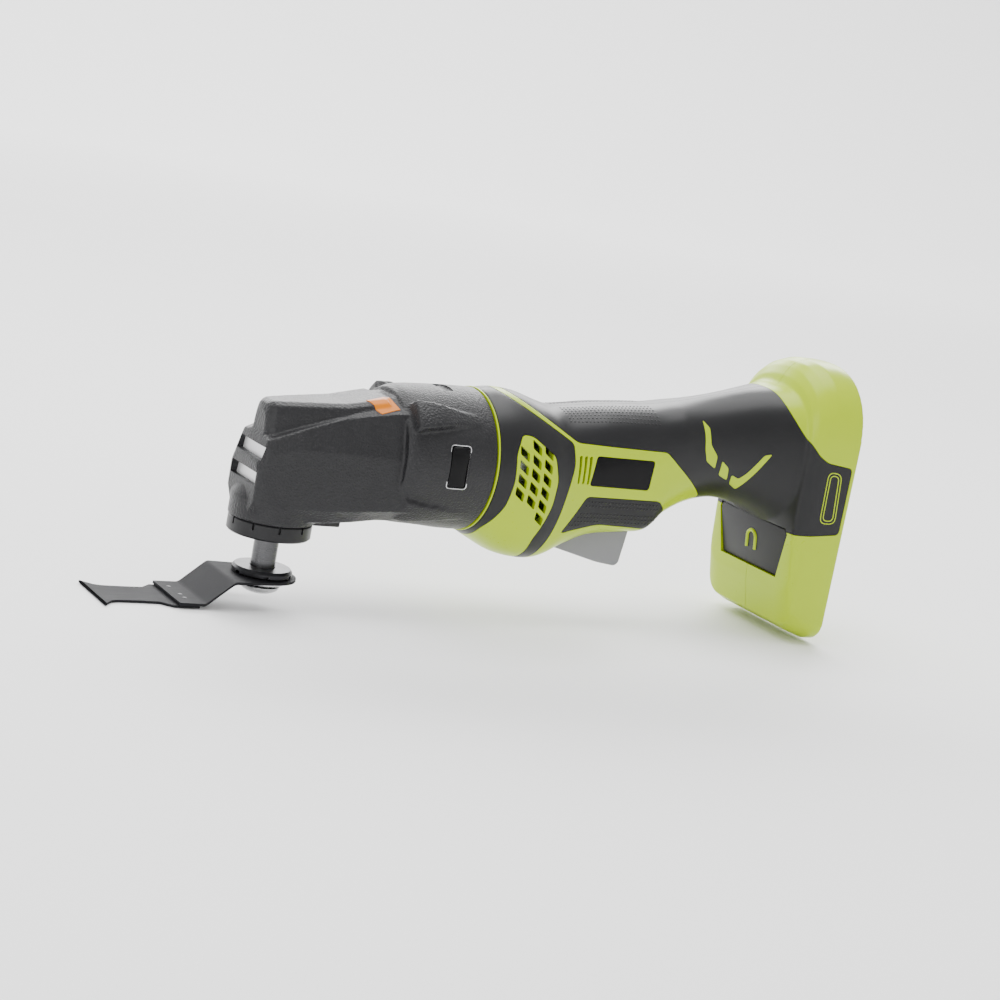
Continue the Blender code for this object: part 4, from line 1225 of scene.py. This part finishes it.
def pressed(name, outline, lift=0.0, thickness=BLADE_THICKNESS):
    """A sheet of even thickness that follows the blade's crank."""
    builder = bmesh.new()
    base = builder.faces.new([builder.verts.new((x, y, -50.0)) for x, y in outline])
    grown_face = bmesh.ops.extrude_face_region(builder, geom=[base])
    for vert in (part for part in grown_face["geom"] if isinstance(part, bmesh.types.BMVert)):
        vert.co.z = 50.0
    for bend_x in (-19.5, -20.5, -21.5, -32.5, -33.5, -34.5):
        geometry = builder.verts[:] + builder.edges[:] + builder.faces[:]
        bmesh.ops.bisect_plane(builder, geom=geometry, plane_co=(bend_x, 0, 0), plane_no=(1, 0, 0))
    for vert in builder.verts:
        height = sum(blade_height(vert.co.x + shift) for shift in (-0.9, 0.0, 0.9)) / 3 + lift
        vert.co.z = height if vert.co.z > 0 else height - thickness
    return add_shape(name, builder)


round_end = [polar(16.6, degrees) for degrees in range(-78, 79, 4)]
carrier = pressed("carrier", [(-46.0, -18.0), (-20.5, -18.6)] + round_end + [(-20.5, 18.6), (-46.0, 18.0)])
cut(carrier, rod("blade_hole", (0, 0, -30), (0, 0, 1), 40, 4.0))
settle(carrier, "blade", SHEET, ("blade_carrier",), crease=25)

TOOTH_PITCH = 1.24
teeth = []
for tooth in range(30):
    y = 18.6 - TOOTH_PITCH * tooth
    teeth += [(TIP_X, y), (TIP_X + 1.0, y - TOOTH_PITCH * 0.7)]
tip_side = [(-35.5, 16.9), (-48.2, 16.9), (-50.5, 14.6), (-53.5, 11.8), (-64.0, 11.4), (-73.5, 11.7),
            (-77.0, 13.0)]
tip_outline = tip_side + teeth + [(TIP_X, -18.6)] + [(x, -y) for x, y in reversed(tip_side)]
settle(pressed("toothed_plate", tip_outline, -BLADE_THICKNESS - GAP, 1.0), "blade", SHEET,
       ("blade_tip",), crease=25)

WELDS = ((-40.5, -9.0), (-40.5, -3.5), (-41.5, 9.0))
weld_points = [((x, y, BLADE_TOP - BLADE_DROP), (0, 0, 1)) for x, y in WELDS]
spot = turned("spot", ((-0.2, 0), (-0.2, 1.1), (0.0, 1.05), (0.16, 0.8), (0.08, 0.4), (0.06, 0)), sides=20)
settle(repeated("weld_spots", weld_points, spot, 1.0, DARK_TURNED), "blade", DARK_TURNED)

# %% [markdown]
# ## The works inside
# Motor, fan, bearings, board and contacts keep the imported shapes, which are simple. They show
# through the vents, the windows and the open battery end, so each gets the finish of its own metal or
# plastic, chosen by the slot that the record gives it.

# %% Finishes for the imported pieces
FINISH_OF_SLOT = {
    "lime_shell": LIME, "soft_grip": GRIP, "textured_pad": PAD, "black_plastic": BLACK, "pebbled_black": HEAD,
    "grey_plastic": GREY, "bright_steel": BRIGHT, "dark_steel": DARK, "cast_alloy": CAST, "copper": COPPER,
    "board": BOARD, "orange_film": ORANGE, "lamp_lens": LENS,
}
for row in frame["record"]["subparts"]:
    node = frame["nodes"][row["node"]]
    node.data.materials.clear()
    node.data.materials.append(FINISH_OF_SLOT[row["material_slot"]].material)
for item in (outer, core, inner_core):
    bpy.data.objects.remove(item, do_unlink=True)
print("packed pieces still shown:", sum(1 for node in frame["nodes"].values() if not node.hide_render))

# %% [markdown]
# ## Floor, light and camera
# A plain pale floor and a pale world stand for a white studio. A soft light overhead shows the top, a
# wide one far behind draws the bright lines along the upper edges, and a small one near the camera
# fills the front.


# %% Floor and world
FLAT_RADIUS = 2.8
RIM_RISE = 1.9


def make_floor():
    """A wide flat floor, in metres, whose rim curves up all round so that no horizon shows."""
    quarter = [polar(RIM_RISE, degrees) for degrees in range(0, 76, 5)]
    rise = [(RIM_RISE - out, FLAT_RADIUS + up) for out, up in quarter]
    underside = [(rise[-1][0] - 0.05, 4.9), (-0.05, 4.9), (-0.05, 0.0)]
    floor = turned("floor", [(0.0, 0.0)] + rise + underside, sides=160)
    finish = Finish("pale_floor")
    cloud = finish.noise(0.4, 2.0)
    finish.paint(finish.between((0.87, 0.87, 0.87), (0.9, 0.9, 0.9), cloud), cloud * 0.05 + 0.65)
    floor.data.transform(Matrix.Translation((0, 0, cad_low.z - 0.0004)))
    floor.data.materials.append(finish.material)
    floor.data.shade_smooth()


def make_world():
    world = bpy.data.worlds.new("pale_room")
    world.use_nodes = True
    background = world.node_tree.nodes["Background"]
    background.inputs["Color"].default_value = (1.0, 1.0, 1.0, 1.0)
    background.inputs["Strength"].default_value = 0.85
    bpy.context.scene.world = world


def soft_light(name, place, target, size, power):
    data = bpy.data.lights.new(name, "AREA")
    data.shape = "RECTANGLE"
    data.size, data.size_y = size
    data.energy = power
    lamp_object = bpy.data.objects.new(name, data)
    lamp_object.location = place
    lamp_object.visible_camera = False
    lamp_object.rotation_euler = (Vector(target) - Vector(place)).to_track_quat("-Z", "Y").to_euler()
    linked(lamp_object)


make_floor()
make_world()
soft_light("overhead", (0.0, 0.25, 1.5), (0, 0, 0.05), (1.6, 1.2), 34)
soft_light("rear_edge", (1.2, 4.1, 2.15), (0, 0, 0.06), (7.0, 1.8), 420)
soft_light("near_fill", (-1.1, -0.9, 0.6), (0, 0, 0.05), (0.7, 0.7), 5)

# %% [markdown]
# ## Camera
# The camera looks at the tool's right side from the head end, a little from above, and is rolled by
# about ten degrees.

# %% Camera
AZIMUTH, ELEVATION, ROLL = math.radians(-31.0), math.radians(10.98), math.radians(10.61)
DISTANCE = 1.13703
TARGET = Vector((0.00968, 0.0, 0.05705))
back = Vector((math.sin(AZIMUTH) * math.cos(ELEVATION), -math.cos(AZIMUTH) * math.cos(ELEVATION),
               math.sin(ELEVATION)))
level = Vector((math.cos(AZIMUTH), math.sin(AZIMUTH), 0.0))
upright = back.cross(level)
right = math.cos(ROLL) * level + math.sin(ROLL) * upright
up = math.cos(ROLL) * upright - math.sin(ROLL) * level
camera_data = bpy.data.cameras.new("camera")
camera_data.sensor_width = 36.0
camera_data.lens = 82.79
camera = linked(bpy.data.objects.new("camera", camera_data))
facing = Matrix((right, up, back)).transposed().to_4x4()
camera.matrix_world = Matrix.Translation(TARGET + back * DISTANCE) @ facing
bpy.context.scene.camera = camera
print("camera at", [round(v, 3) for v in camera.matrix_world.translation])
